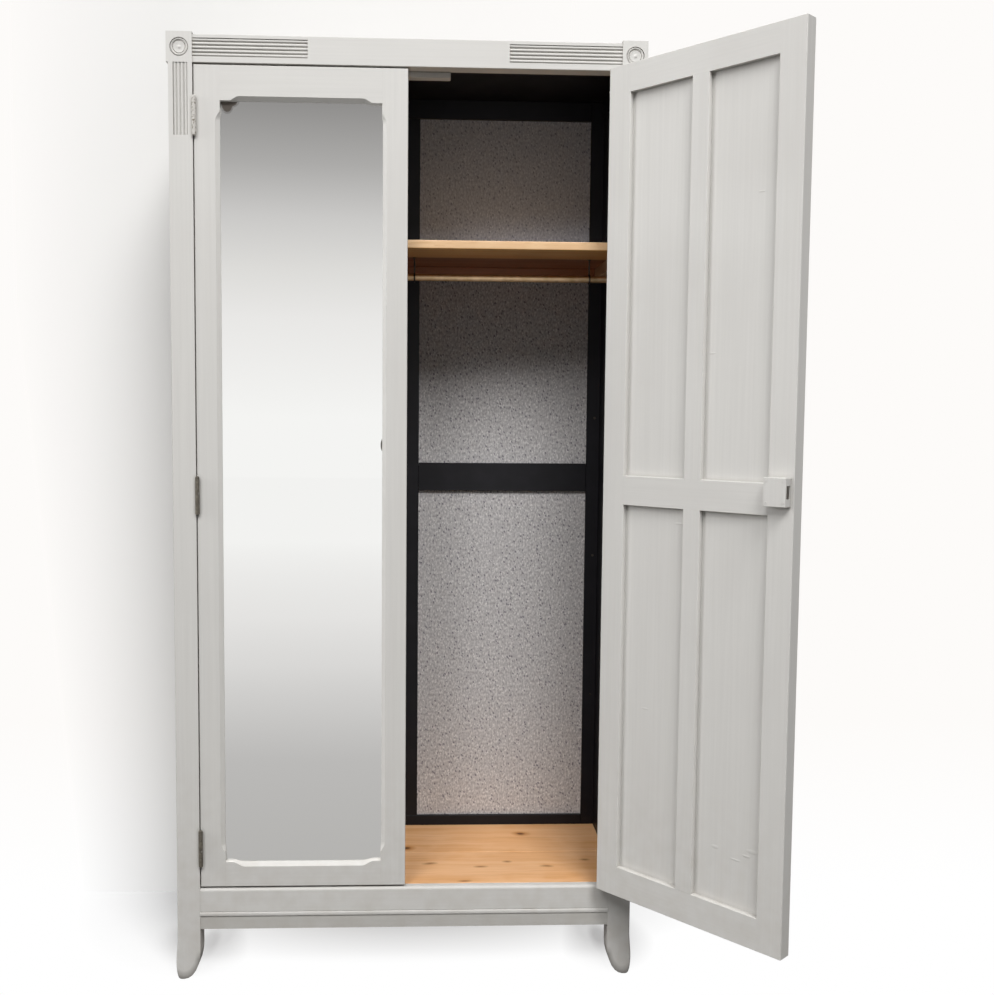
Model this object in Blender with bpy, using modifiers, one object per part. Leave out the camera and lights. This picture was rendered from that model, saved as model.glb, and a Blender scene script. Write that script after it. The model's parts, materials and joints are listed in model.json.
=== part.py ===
"""Mirrored armoire: a painted two-door wardrobe with a mirror in each door.

The carcass stands on four posts. Each door is a moulded frame that carries the
glass, a backing board and a back frame, and hangs on three lift-off hinges. The
right door, which has the lock, stands open; the left door is shut.

Units are metres, +Z is up and the front of the armoire looks along -Y. While a
piece is being laid out, x is 0 at the middle of the carcass, y is 0 at the front
face of the posts and z is 0 at the floor.
"""

import math

import bmesh
import bpy
from mathutils import Matrix, Vector

# Overall size
HEIGHT = 2.000  # floor to the top of the post heads
WIDTH = 0.984  # over the outer faces of the posts
DEPTH = 0.400  # front of the front posts to the back of the back posts
OPEN_ANGLE = math.radians(132.0)  # how far the right door stands open

# Clearances
GAP = 0.0003  # between two pieces that touch
SLIDE_GAP = 0.0006  # round a bolt that slides
STOP_HOLE_GAP = 0.0025  # slack round the bolt in the door stop's hole
OVERSHOOT = 0.002  # how far a cutter runs past a face
WELD = 0.00001  # distance under which doubled points are one
ARRIS = 0.0010  # broken edge of sawn and planed wood

# Posts, heads and feet
POST_WIDTH = 0.049
POST_DEPTH = 0.045
POST_ROUND = 0.003  # radius on the outer front arris
BACK_POST_WIDTH = 0.055
BACK_POST_DEPTH = 0.034
HEAD_HEIGHT = 0.0615
HEAD_OVERHANG = 0.004
FOOT_FLARE = 0.0035  # how far the front foot kicks outwards
FOOT_FLARE_TOP = 0.095
TOE_HEIGHT = 0.036
SOLE_INSET = 0.0045
SOLE_WIDTH = 0.0095
FOOT_CURVE_TOP = 0.062
BACK_FOOT_WIDTH = 0.038
BACK_FOOT_TAPER_TOP = 0.105

# Reeding and rosettes
REED_PITCH = 0.0074
REED_DEPTH = 0.0026
REED_SINK = 0.0004  # the crests stay this far below the face
CORNICE_REEDS = 5
CORNICE_REED_LENGTH = 0.235
CORNICE_REED_DROP = 0.007  # below the top edge of the cornice
POST_REEDS = 4
POST_REED_LENGTH = 0.146
ROSETTE_RADIUS = 0.019
ROSETTE_DEPTH = 0.0032

# Cornice and roof
CORNICE_DROP = 0.005  # top of the cornice rail below the top of the heads
CORNICE_SETBACK = 0.001
ROOF_RECESS = 0.006  # roof below the top of the cornice rail
ROOF_THICKNESS = 0.012

# Bottom front rail
FLOOR_LEVEL = 0.200
FASCIA_HEIGHT = 0.0525
FASCIA_SETBACK = 0.0005
FASCIA_ROUND = 0.0065  # radius on the fascia's top edge
BEAD_HEIGHT = 0.009
BEAD_PROUD = 0.0008
BEAD_QUIRK = 0.0015
LOWER_FASCIA_HEIGHT = 0.028
LOWER_FASCIA_SETBACK = 0.009
RAIL_THICKNESS = 0.032
FLOOR_LIP = 0.018  # width of the rail's top in front of the floor
FLOOR_THICKNESS = 0.018

# Sides
SIDE_RAIL_THICKNESS = 0.024
SIDE_RAIL_INSET = 0.005
SIDE_PANEL_THICKNESS = 0.010
SIDE_PANEL_INSET = 0.014
GROOVE = 0.008  # depth of the groove that holds a panel's edge

# Back
BACK_RAIL_THICKNESS = 0.022
BACK_PANEL_THICKNESS = 0.006
BACK_PANEL_RECESS = 0.008
BACK_TOP_RAIL_HEIGHT = 0.045
BACK_MID_RAIL_HEIGHT = 0.068
BACK_MID_RAIL_LEVEL = 1.074  # middle of the rail
BACK_BOTTOM_RAIL_RISE = 0.024  # above the floor boards
BACK_MUNTIN_WIDTH = 0.050

# Shelf and hanging rail
SHELF_LEVEL = 1.597  # top of the shelf
SHELF_THICKNESS = 0.018
SHELF_FRONT = 0.060
SHELF_ROUND = 0.003
CLEAT_THICKNESS = 0.020
CLEAT_HEIGHT = 0.026
CLEAT_SETBACK = 0.015
BACK_CLEAT_HEIGHT = 0.028
RAIL_DIAMETER = 0.016
RAIL_DROP = 0.044  # middle of the hanging rail below the shelf
RAIL_FLANGE_RADIUS = 0.0155  # at each end, against the side panel
RAIL_FLANGE_THICKNESS = 0.005
RAIL_FROM_FRONT = 0.200

# Doors
DOOR_THICKNESS = 0.030
DOOR_SETBACK = 0.0015
DOOR_TOP_GAP = 0.0035
DOOR_BOTTOM_GAP = 0.0045
HINGE_GAP = 0.002
MEETING_GAP = 0.003
STILE_WIDTH = 0.0535
TOP_RAIL_FRONT = 0.062
TOP_RAIL_BACK = 0.057
BOTTOM_RAIL_FRONT = 0.044
BOTTOM_RAIL_BACK = 0.064
MID_RAIL_HEIGHT = 0.061
MID_RAIL_LEVEL = 1.0705  # middle of the rail
MUNTIN_WIDTH = 0.039
EAR = 0.010  # how far a corner ear steps into the mirror opening
EAR_RUN = 0.015
OGEE_LENGTH = 0.025
GLASS_EAR = 0.0035  # the same step where the moulding meets the glass
MOULD_WIDTH = 0.0085
MOULD_DEPTH = 0.0078
LIP_THICKNESS = 0.009  # wood in front of the glass
GLASS_THICKNESS = 0.004
BACKING_THICKNESS = 0.005
POCKET_MARGIN = 0.008  # glass hidden behind the lip

# Door stop
STOP_LENGTH = 0.174
STOP_HEIGHT = 0.012
STOP_DEPTH = 0.022

# Hinges
HINGE_HEIGHT = 0.075
HINGE_TOP_INSET = 0.1035  # middle of the top hinge below the door's top
HINGE_BOTTOM_INSET = 0.086
HINGE_MID_LEVEL = 1.0508
KNUCKLE_RADIUS = 0.0045
KNUCKLE_DOME = 0.0035
PIN_RADIUS = 0.0022
PIN_INSET = 0.0035  # pin axis from the post, towards the door
PIN_PROUD = 0.004  # pin axis in front of the posts
LEAF_THICKNESS = 0.0016
LEAF_PROUD = 0.0006
LEAF_DEPTH = 0.026  # reach of a leaf behind the front of the posts

# Lock, on the right door, and its keeper, on the left
LOCK_RISE = 0.0155  # middle of the lock above the middle of the mid rail
LOCK_WIDTH = 0.046
LOCK_HEIGHT = 0.054
LOCK_DEPTH = 0.020
LOCK_INSET = 0.006
LOCK_ROUND = 0.0015
LOCK_BOLT_LENGTH = 0.036
LOCK_BOLT_HEIGHT = 0.024
LOCK_BOLT_THICKNESS = 0.013
LOCK_BOLT_RECESS = 0.002  # withdrawn bolt inside the case
LOCK_BOLT_TRAVEL = 0.020
KEEPER_WALL = 0.007
KEEPER_INSET = 0.002
KEEPER_HEIGHT = 0.040

# Bolt that holds the left door shut, sliding up into the door stop
TOP_BOLT_WIDTH = 0.010
TOP_BOLT_THICKNESS = 0.008
TOP_BOLT_DROP = 0.002  # lowered bolt below the door stop
TOP_BOLT_TRAVEL = 0.012
TOP_BOLT_NECK = 0.012  # bolt above its case when lowered
TOP_BOLT_CASE_WIDTH = 0.026
TOP_BOLT_CASE_HEIGHT = 0.050
TOP_BOLT_CASE_DEPTH = 0.020
TOP_BOLT_KNOB_RADIUS = 0.004
TOP_BOLT_KNOB_LENGTH = 0.010

# Fineness of the curves
ARC_STEPS = 6
ROSETTE_STEPS = 24
KNUCKLE_STEPS = 12
ROUND_STEPS = 16

# Levels and faces that several pieces share
CORNICE_UNDERSIDE = HEIGHT - HEAD_HEIGHT
CORNICE_TOP = HEIGHT - CORNICE_DROP
ROOF_TOP = CORNICE_TOP - ROOF_RECESS
ROOF_UNDERSIDE = ROOF_TOP - ROOF_THICKNESS
FLOOR_UNDERSIDE = FLOOR_LEVEL - FLOOR_THICKNESS
BEAD_TOP = FLOOR_LEVEL - FASCIA_HEIGHT
BEAD_BOTTOM = BEAD_TOP - BEAD_HEIGHT
BASE_UNDERSIDE = BEAD_BOTTOM - LOWER_FASCIA_HEIGHT
HALF_WIDTH = WIDTH / 2
POST_INNER = HALF_WIDTH - POST_WIDTH
BACK_POST_INNER = HALF_WIDTH - BACK_POST_WIDTH
BACK_FACE = DEPTH - BACK_POST_DEPTH  # front of the back frame
BACK_PANEL_FACE = BACK_FACE + BACK_PANEL_RECESS
SIDE_PANEL_OUTER = HALF_WIDTH - SIDE_PANEL_INSET
SIDE_PANEL_INNER = SIDE_PANEL_OUTER - SIDE_PANEL_THICKNESS
SIDE_RAIL_OUTER = HALF_WIDTH - SIDE_RAIL_INSET
SIDE_RAIL_INNER = SIDE_RAIL_OUTER - SIDE_RAIL_THICKNESS
SHELF_UNDERSIDE = SHELF_LEVEL - SHELF_THICKNESS

DOOR_FACE = DOOR_SETBACK
DOOR_BACK = DOOR_FACE + DOOR_THICKNESS
DOOR_TOP = CORNICE_UNDERSIDE - DOOR_TOP_GAP
DOOR_BOTTOM = FLOOR_LEVEL + DOOR_BOTTOM_GAP
HINGE_EDGE = POST_INNER - HINGE_GAP
MEETING_EDGE = MEETING_GAP / 2
STILE_FRONT = STILE_WIDTH - EAR  # stile beside the mirror, between the ears
GLASS_FACE = DOOR_FACE + LIP_THICKNESS
BACKING_FACE = GLASS_FACE + GAP + GLASS_THICKNESS + GAP
POCKET_BACK = BACKING_FACE + BACKING_THICKNESS + GAP
STOP_UNDERSIDE = CORNICE_UNDERSIDE - STOP_HEIGHT
PIN_X = POST_INNER - PIN_INSET
PIN_Y = -PIN_PROUD
MORTISE_DEPTH = LEAF_THICKNESS - LEAF_PROUD + GAP
BORE_RADIUS = PIN_RADIUS + GAP
LOCK_LEVEL = MID_RAIL_LEVEL + LOCK_RISE

HINGE_LEVELS = {
    "top": DOOR_TOP - HINGE_TOP_INSET,
    "middle": HINGE_MID_LEVEL,
    "bottom": DOOR_BOTTOM + HINGE_BOTTOM_INSET,
}
SIDES = {"left": -1, "right": 1}

# Directions of an outline's own X, Y and Z, for each plane that outlines are drawn in
PLANES = {
    "XY": Matrix(((1, 0, 0), (0, 1, 0), (0, 0, 1))),
    "XZ": Matrix(((1, 0, 0), (0, 0, -1), (0, 1, 0))),
    "YZ": Matrix(((0, 0, 1), (1, 0, 0), (0, 1, 0))),
}


def clear_scene():
    for obj in list(bpy.data.objects):
        bpy.data.objects.remove(obj, do_unlink=True)


def new_collection(name):
    collection = bpy.data.collections.new(name)
    bpy.context.scene.collection.children.link(collection)
    return collection


def linear(colour):
    """Linear RGBA of an sRGB colour written as a hex string."""
    channels = [int(colour[i:i + 2], 16) / 255 for i in (1, 3, 5)]
    curve = [c / 12.92 if c <= 0.04045 else ((c + 0.055) / 1.055) ** 2.4 for c in channels]
    return (*curve, 1.0)


def new_material(name, colour, roughness, metallic=0.0):
    material = bpy.data.materials.new(name)
    material.use_nodes = True
    shader = material.node_tree.nodes["Principled BSDF"]
    shader.inputs["Base Color"].default_value = linear(colour)
    shader.inputs["Roughness"].default_value = roughness
    shader.inputs["Metallic"].default_value = metallic
    return material


clear_scene()
PARTS = new_collection("mirrored_armoire")
CUTTERS = new_collection("cutters")
PAINT = new_material("warm_grey_paint", "#CFCEC9", 0.55)
BLACK = new_material("black_paint", "#1D1B20", 0.6)
PRINT = new_material("printed_lining", "#A39FA6", 0.8)
PINE = new_material("waxed_pine", "#D39C66", 0.5)
MIRROR = new_material("mirror_glass", "#E4E6E6", 0.03, 1.0)
BOARD = new_material("painted_backing", "#C6C5C1", 0.6)
IRON = new_material("aged_hinge_iron", "#6B6055", 0.5, 0.8)
STEEL = new_material("dark_bolt_steel", "#4B463F", 0.45, 0.9)
BRASS = new_material("dull_brass", "#B59F76", 0.4, 0.9)


def new_pivot(name, place, parent=None, angle=0.0):
    pivot = bpy.data.objects.new(name, None)
    pivot.empty_display_size = 0.1
    pivot.location = place
    pivot.rotation_euler.z = angle
    pivot.parent = parent
    PARTS.objects.link(pivot)
    return pivot


ROOT = new_pivot("armoire_origin", (0, 0, 0))
DOOR_PIVOTS = {
    "left": new_pivot("left_door_pivot", (-PIN_X, PIN_Y, 0), ROOT),
    "right": new_pivot("right_door_pivot", (PIN_X, PIN_Y, 0), ROOT, OPEN_ANGLE),
}


def carry(obj, pivot):
    """Fix a piece, laid out where it sits with the doors shut, to its pivot."""
    obj.parent = pivot
    obj.matrix_parent_inverse = Matrix.Translation(-pivot.location)


def add_part(name, mesh, material, pivot, place=(0, 0, 0)):
    obj = bpy.data.objects.new(name, mesh)
    obj.location = place
    if not mesh.materials:
        mesh.materials.append(material)
    PARTS.objects.link(obj)
    carry(obj, pivot)
    return obj


def add_cutter(name, mesh, pivot, place=(0, 0, 0)):
    obj = bpy.data.objects.new(name, mesh)
    obj.location = place
    obj.hide_render = True
    obj.display_type = "WIRE"
    CUTTERS.objects.link(obj)
    carry(obj, pivot)
    return obj


def bevel(obj, width, segments=1):
    modifier = obj.modifiers.new("arris", "BEVEL")
    modifier.width = width
    modifier.segments = segments
    modifier.limit_method = "ANGLE"
    return obj


def cut(obj, *cutters):
    for cutter in cutters:
        modifier = obj.modifiers.new(cutter.name, "BOOLEAN")
        modifier.operation = "DIFFERENCE"
        modifier.solver = "EXACT"
        modifier.object = cutter
    return obj


def shade(mesh):
    mesh.shade_smooth()
    mesh.set_sharp_from_angle(angle=math.radians(35))
    return mesh


def cube_mesh(size):
    mesh = bpy.data.meshes.new("board")
    bm = bmesh.new()
    bmesh.ops.create_cube(bm, size=1.0, matrix=Matrix.Diagonal((*size, 1.0)))
    bm.to_mesh(mesh)
    bm.free()
    return mesh


def size_and_middle(x, y, z):
    size = [abs(b - a) for a, b in (x, y, z)]
    middle = [(a + b) / 2 for a, b in (x, y, z)]
    return size, middle


def board(name, x, y, z, material, pivot=ROOT, arris=ARRIS, segments=1):
    """A planed board that fills the given ranges of x, y and z."""
    size, middle = size_and_middle(x, y, z)
    return bevel(add_part(name, cube_mesh(size), material, pivot, middle), arris, segments)


def box_cutter(name, x, y, z, pivot=ROOT):
    size, middle = size_and_middle(x, y, z)
    return add_cutter(name, cube_mesh(size), pivot, middle)


def evaluated_mesh(obj):
    """The mesh that an object's curve or modifiers make; the object is removed."""
    graph = bpy.context.evaluated_depsgraph_get()
    mesh = bpy.data.meshes.new_from_object(obj.evaluated_get(graph), depsgraph=graph)
    bpy.data.objects.remove(obj, do_unlink=True)
    return mesh


def tidy(mesh, matrix=None):
    """Weld a mesh, merge its flat faces, place it and turn its faces outwards."""
    bm = bmesh.new()
    bm.from_mesh(mesh)
    bmesh.ops.remove_doubles(bm, verts=bm.verts, dist=WELD)
    bmesh.ops.dissolve_limit(bm, angle_limit=math.radians(0.5), verts=bm.verts, edges=bm.edges)
    if matrix is not None:
        bmesh.ops.transform(bm, matrix=matrix, verts=bm.verts)
    bmesh.ops.recalc_face_normals(bm, faces=bm.faces)
    bm.to_mesh(mesh)
    bm.free()
    return mesh


def prism(outline, plane, start, end):
    """Mesh of an outline drawn in a plane, pushed from start to end across it."""
    curve = bpy.data.curves.new("outline", "CURVE")
    curve.dimensions = "2D"
    curve.fill_mode = "BOTH"
    curve.extrude = abs(end - start) / 2
    spline = curve.splines.new("POLY")
    spline.points.add(len(outline) - 1)
    for point, (a, b) in zip(spline.points, outline):
        point.co = (a, b, 0, 1)
    spline.use_cyclic_u = True
    guide = bpy.data.objects.new("outline", curve)
    CUTTERS.objects.link(guide)
    mesh = evaluated_mesh(guide)
    across = {"XY": Vector((0, 0, 1)), "XZ": Vector((0, 1, 0)), "YZ": Vector((1, 0, 0))}[plane]
    middle = Matrix.Translation(across * (start + end) / 2)
    return tidy(mesh, middle @ PLANES[plane].to_4x4())


def turned(profile, steps):
    """Mesh of a profile, as (radius, height) points, turned round the Z axis."""
    mesh = bpy.data.meshes.new("profile")
    bm = bmesh.new()
    points = [bm.verts.new((radius, 0, height)) for radius, height in profile]
    for upper, lower in zip(points, points[1:]):
        bm.edges.new((upper, lower))
    bm.to_mesh(mesh)
    bm.free()
    obj = bpy.data.objects.new("profile", mesh)
    CUTTERS.objects.link(obj)
    screw = obj.modifiers.new("turn", "SCREW")
    screw.angle = math.tau
    screw.steps = steps
    screw.render_steps = steps
    screw.use_merge_vertices = True
    screw.merge_threshold = WELD
    return tidy(evaluated_mesh(obj))


def united(first, second):
    """Mesh of two overlapping solids joined into one."""
    base = bpy.data.objects.new("base", first)
    extra = bpy.data.objects.new("extra", second)
    CUTTERS.objects.link(base)
    CUTTERS.objects.link(extra)
    modifier = base.modifiers.new("join", "BOOLEAN")
    modifier.operation = "UNION"
    modifier.solver = "EXACT"
    modifier.object = extra
    mesh = evaluated_mesh(base)
    bpy.data.objects.remove(extra, do_unlink=True)
    return mesh


def quarter(centre, radii, start, steps=ARC_STEPS):
    """Points on a quarter of an ellipse, anticlockwise from an angle in degrees."""
    angles = [math.radians(start + 90 * i / steps) for i in range(steps + 1)]
    return [(centre[0] + radii[0] * math.cos(a), centre[1] + radii[1] * math.sin(a)) for a in angles]


def smooth_step(t):
    """Rise from 0 to 1 with level ends, the line of an ogee."""
    return (1 - math.cos(math.pi * t)) / 2


def reed_outline(start, count, face):
    """Outline, along and across a face, of what is cut away to leave round reeds."""
    steps = count * ARC_STEPS
    crest = face + REED_SINK
    floor = []
    for i in range(steps + 1):
        wave = abs(math.sin(math.pi * i / ARC_STEPS))
        floor.append((start + REED_PITCH * i / ARC_STEPS, crest + REED_DEPTH * (1 - wave)))
    front = face - OVERSHOOT
    return floor + [(floor[-1][0], front), (floor[0][0], front)]


def front_post_outline(side):
    """Front view of a post: head, shaft and sabre foot, as (x, z) points."""
    sole_end = SOLE_INSET + SOLE_WIDTH
    flare = []
    for i in range(ARC_STEPS + 1):
        t = i / ARC_STEPS
        level = FOOT_FLARE_TOP + (TOE_HEIGHT - FOOT_FLARE_TOP) * t
        flare.append((-FOOT_FLARE * smooth_step(t), level))
    toe = quarter((SOLE_INSET, TOE_HEIGHT), (SOLE_INSET + FOOT_FLARE, TOE_HEIGHT), 180)
    inner = quarter((sole_end, FOOT_CURVE_TOP), (POST_WIDTH - sole_end, FOOT_CURVE_TOP), 270)
    outline = [
        (POST_WIDTH, HEIGHT),
        (-HEAD_OVERHANG, HEIGHT),
        (-HEAD_OVERHANG, CORNICE_UNDERSIDE),
        (0, CORNICE_UNDERSIDE),
    ]
    outline += flare + toe[1:] + inner
    return [(side * (HALF_WIDTH - inward), level) for inward, level in outline]


def round_outer_arris(mesh, side):
    """Round the long outer front edge of a post, from under its head down to its sole."""
    bm = bmesh.new()
    bm.from_mesh(mesh)

    def on_arris(edge):
        upper, lower = sorted((vert.co for vert in edge.verts), key=lambda co: -co.z)
        in_front = max(upper.y, lower.y) < WELD
        outside = min(side * upper.x, side * lower.x) > HALF_WIDTH - SOLE_INSET - WELD
        return in_front and outside and lower.z + WELD < upper.z < CORNICE_UNDERSIDE + WELD

    edges = [edge for edge in bm.edges if on_arris(edge)]
    bmesh.ops.bevel(bm, geom=edges, offset=POST_ROUND, segments=3, profile=0.5, affect="EDGES")
    bm.to_mesh(mesh)
    bm.free()
    return mesh


def rosette_cutter(name, side):
    """Turned rosette sunk into the face of a post's head: boss, dished disc and outer ring."""
    across = [0.0, 0.10, 0.18, 0.24, 0.46, 0.62, 0.68, 0.75, 0.84, 0.92, 0.97, 1.0]
    depth = [0.30, 0.36, 0.62, 0.80, 0.74, 0.60, 1.0, 0.40, 0.12, 0.40, 1.0, 0.0]
    rings = [(ROSETTE_RADIUS * r, ROSETTE_DEPTH * d) for r, d in zip(across, depth)]
    front = [(ROSETTE_RADIUS, -OVERSHOOT), (0.0, -OVERSHOOT)]
    mesh = turned(list(reversed(rings + front)), ROSETTE_STEPS)
    mesh.transform(Matrix.Rotation(math.radians(-90), 4, "X"))
    middle = (side * (HALF_WIDTH - (POST_WIDTH - HEAD_OVERHANG) / 2), 0, HEIGHT - HEAD_HEIGHT / 2)
    return add_cutter(name, mesh, ROOT, middle)


def side_panel_ranges(side):
    x = (side * SIDE_PANEL_INNER, side * SIDE_PANEL_OUTER)
    y = (POST_DEPTH - GROOVE, BACK_FACE + GROOVE)
    z = (FLOOR_UNDERSIDE - GAP - GROOVE, CORNICE_UNDERSIDE + GROOVE)
    return x, y, z


def grown(limits, clearance=GAP):
    low, high = sorted(limits)
    return low - clearance, high + clearance


def groove_cutter(name, ranges):
    """Room for a panel whose edges sit in its neighbours."""
    return box_cutter(name, *[grown(limits) for limits in ranges])


SIDE_GROOVES = {
    name: groove_cutter(f"{name}_side_groove", side_panel_ranges(side)) for name, side in SIDES.items()
}


def hinge_mortise(name, side, level, on_door):
    """Recess for one hinge leaf, in the edge of a door or of its post."""
    if on_door:
        x = (HINGE_EDGE + OVERSHOOT / 4, HINGE_EDGE - MORTISE_DEPTH)
        pivot = DOOR_PIVOTS["right" if side > 0 else "left"]
    else:
        x = (POST_INNER - OVERSHOOT, POST_INNER + MORTISE_DEPTH)
        pivot = ROOT
    y = (-OVERSHOOT, LEAF_DEPTH + GAP)
    z = grown((level - HINGE_HEIGHT / 2, level + HINGE_HEIGHT / 2))
    return box_cutter(name, [side * limit for limit in x], y, z, pivot)


def build_front_posts():
    for name, side in SIDES.items():
        mesh = prism(front_post_outline(side), "XZ", 0, POST_DEPTH)
        post = add_part(f"front_{name}_post", round_outer_arris(mesh, side), PAINT, ROOT)
        middle = side * (HALF_WIDTH - POST_WIDTH / 2)
        outline = reed_outline(middle - POST_REEDS * REED_PITCH / 2, POST_REEDS, 0)
        reeds = prism(outline, "XY", CORNICE_UNDERSIDE - POST_REED_LENGTH, CORNICE_UNDERSIDE)
        cut(post, add_cutter(f"{name}_post_reeds", reeds, ROOT))
        cut(post, rosette_cutter(f"{name}_rosette", side), SIDE_GROOVES[name])
        for level_name, level in HINGE_LEVELS.items():
            cut(post, hinge_mortise(f"{name}_post_{level_name}_mortise", side, level, False))


def build_back_posts():
    for name, side in SIDES.items():
        outline = [
            (BACK_POST_WIDTH, ROOF_UNDERSIDE - GAP),
            (0, ROOF_UNDERSIDE - GAP),
            (0, 0),
            (BACK_FOOT_WIDTH, 0),
            (BACK_POST_WIDTH, BACK_FOOT_TAPER_TOP),
        ]
        placed = [(side * (HALF_WIDTH - inward), level) for inward, level in outline]
        post = add_part(f"back_{name}_post", prism(placed, "XZ", BACK_FACE, DEPTH), PAINT, ROOT)
        cut(bevel(post, ARRIS), SIDE_GROOVES[name], *BACK_GROOVES.values())


def build_cornice():
    half = POST_INNER - GAP
    face = CORNICE_SETBACK
    rail = board(
        "cornice_front_rail", (-half, half), (face, POST_DEPTH), (CORNICE_UNDERSIDE, CORNICE_TOP), PAINT
    )
    top = CORNICE_TOP - CORNICE_REED_DROP
    outline = reed_outline(top - CORNICE_REEDS * REED_PITCH, CORNICE_REEDS, face)
    across = [(depth, level) for level, depth in outline]
    for name, side in SIDES.items():
        outer = side * (POST_INNER + OVERSHOOT)
        inner = side * (POST_INNER - CORNICE_REED_LENGTH)
        cut(rail, add_cutter(f"{name}_cornice_reeds", prism(across, "YZ", inner, outer), ROOT))
    for name, side in SIDES.items():
        x = (side * SIDE_RAIL_INNER, side * (HALF_WIDTH + HEAD_OVERHANG))
        y = (POST_DEPTH + GAP, BACK_FACE - GAP)
        z = (CORNICE_UNDERSIDE, ROOF_UNDERSIDE - GAP)
        cut(board(f"{name}_top_rail", x, y, z, PAINT), SIDE_GROOVES[name])
    half = HALF_WIDTH + HEAD_OVERHANG
    board("roof_panel", (-half, half), (POST_DEPTH + GAP, DEPTH), (ROOF_UNDERSIDE, ROOF_TOP), PAINT)


def front_rail_outline():
    """Section of the bottom front rail: fascia, bead, set-back foot and floor rebate."""
    face = FASCIA_SETBACK
    bead_radius = BEAD_HEIGHT / 2
    bead_middle = (BEAD_TOP + BEAD_BOTTOM) / 2
    bead = []
    for i in range(ARC_STEPS + 1):
        angle = math.radians(90 + 180 * i / ARC_STEPS)
        bulge = (face + BEAD_PROUD) * math.cos(angle)
        bead.append((face + bulge, bead_middle + bead_radius * math.sin(angle)))
    return [
        (FLOOR_LIP - GAP, FLOOR_LEVEL),
        *quarter((face + FASCIA_ROUND, FLOOR_LEVEL - FASCIA_ROUND), (FASCIA_ROUND, FASCIA_ROUND), 90),
        (face, BEAD_TOP + BEAD_QUIRK),
        (face + BEAD_QUIRK, BEAD_TOP + BEAD_QUIRK / 2),
        *bead,
        (LOWER_FASCIA_SETBACK, BEAD_BOTTOM),
        (LOWER_FASCIA_SETBACK, BASE_UNDERSIDE),
        (RAIL_THICKNESS, BASE_UNDERSIDE),
        (RAIL_THICKNESS, FLOOR_UNDERSIDE - GAP),
        (FLOOR_LIP - GAP, FLOOR_UNDERSIDE - GAP),
    ]


def build_base():
    half = POST_INNER - GAP
    add_part("bottom_front_rail", prism(front_rail_outline(), "YZ", -half, half), PAINT, ROOT)
    for name, side in SIDES.items():
        x = (side * SIDE_RAIL_INNER, side * SIDE_RAIL_OUTER)
        y = (POST_DEPTH + GAP, BACK_FACE - GAP)
        rail = board(f"{name}_bottom_rail", x, y, (BASE_UNDERSIDE, FLOOR_UNDERSIDE - GAP), PAINT)
        cut(rail, SIDE_GROOVES[name])


def build_side_panels():
    for name, side in SIDES.items():
        board(f"{name}_side_panel", *side_panel_ranges(side), PAINT)


def build_floor():
    """Two boards on the side rails; the front one is notched round the front posts."""
    half = SIDE_PANEL_INNER - GAP
    back_edge = BACK_FACE - GAP
    seam = (FLOOR_LIP + back_edge) / 2
    z = (FLOOR_UNDERSIDE, FLOOR_LEVEL)
    front = board("floor_board_front", (-half, half), (FLOOR_LIP, seam - GAP / 2), z, PINE)
    board("floor_board_back", (-half, half), (seam + GAP / 2, back_edge), z, PINE)
    for name, side in SIDES.items():
        x = [side * (POST_INNER - GAP), side * (HALF_WIDTH + OVERSHOOT)]
        notch = box_cutter(f"{name}_floor_notch", x, (-OVERSHOOT, POST_DEPTH + GAP), grown(z, OVERSHOOT))
        cut(front, notch)


BACK_LEVELS = {
    "bottom": (BASE_UNDERSIDE, FLOOR_LEVEL + BACK_BOTTOM_RAIL_RISE),
    "mid": (
        BACK_MID_RAIL_LEVEL - BACK_MID_RAIL_HEIGHT / 2,
        BACK_MID_RAIL_LEVEL + BACK_MID_RAIL_HEIGHT / 2,
    ),
    "top": (ROOF_UNDERSIDE - GAP - BACK_TOP_RAIL_HEIGHT, ROOF_UNDERSIDE - GAP),
}


def back_panel_ranges(below, above):
    half = BACK_POST_INNER + GROOVE
    y = (BACK_PANEL_FACE, BACK_PANEL_FACE + BACK_PANEL_THICKNESS)
    z = (BACK_LEVELS[below][1] - GROOVE, BACK_LEVELS[above][0] + GROOVE)
    return (-half, half), y, z


BACK_PANELS = {"lower": back_panel_ranges("bottom", "mid"), "upper": back_panel_ranges("mid", "top")}
BACK_GROOVES = {name: groove_cutter(f"back_{name}_groove", r) for name, r in BACK_PANELS.items()}


def build_back():
    half = BACK_POST_INNER - GAP
    y = (BACK_FACE, BACK_FACE + BACK_RAIL_THICKNESS)
    strip_x = (-BACK_MUNTIN_WIDTH / 2, BACK_MUNTIN_WIDTH / 2)
    strip_y = (BACK_FACE, BACK_PANEL_FACE - GAP)
    strip_z = (BACK_LEVELS["bottom"][1] + GAP, BACK_LEVELS["top"][0] - GAP)
    for name, z in BACK_LEVELS.items():
        cut(board(f"back_{name}_rail", (-half, half), y, z, BLACK), *BACK_GROOVES.values())
    board("back_muntin", strip_x, strip_y, strip_z, BLACK)
    housing = box_cutter(
        "back_muntin_housing", grown(strip_x), (BACK_FACE - OVERSHOOT, strip_y[1] + GAP), grown(strip_z)
    )
    cut(bpy.data.objects["back_mid_rail"], housing)
    for name, ranges in BACK_PANELS.items():
        board(f"back_panel_{name}", *ranges, PRINT)


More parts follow.
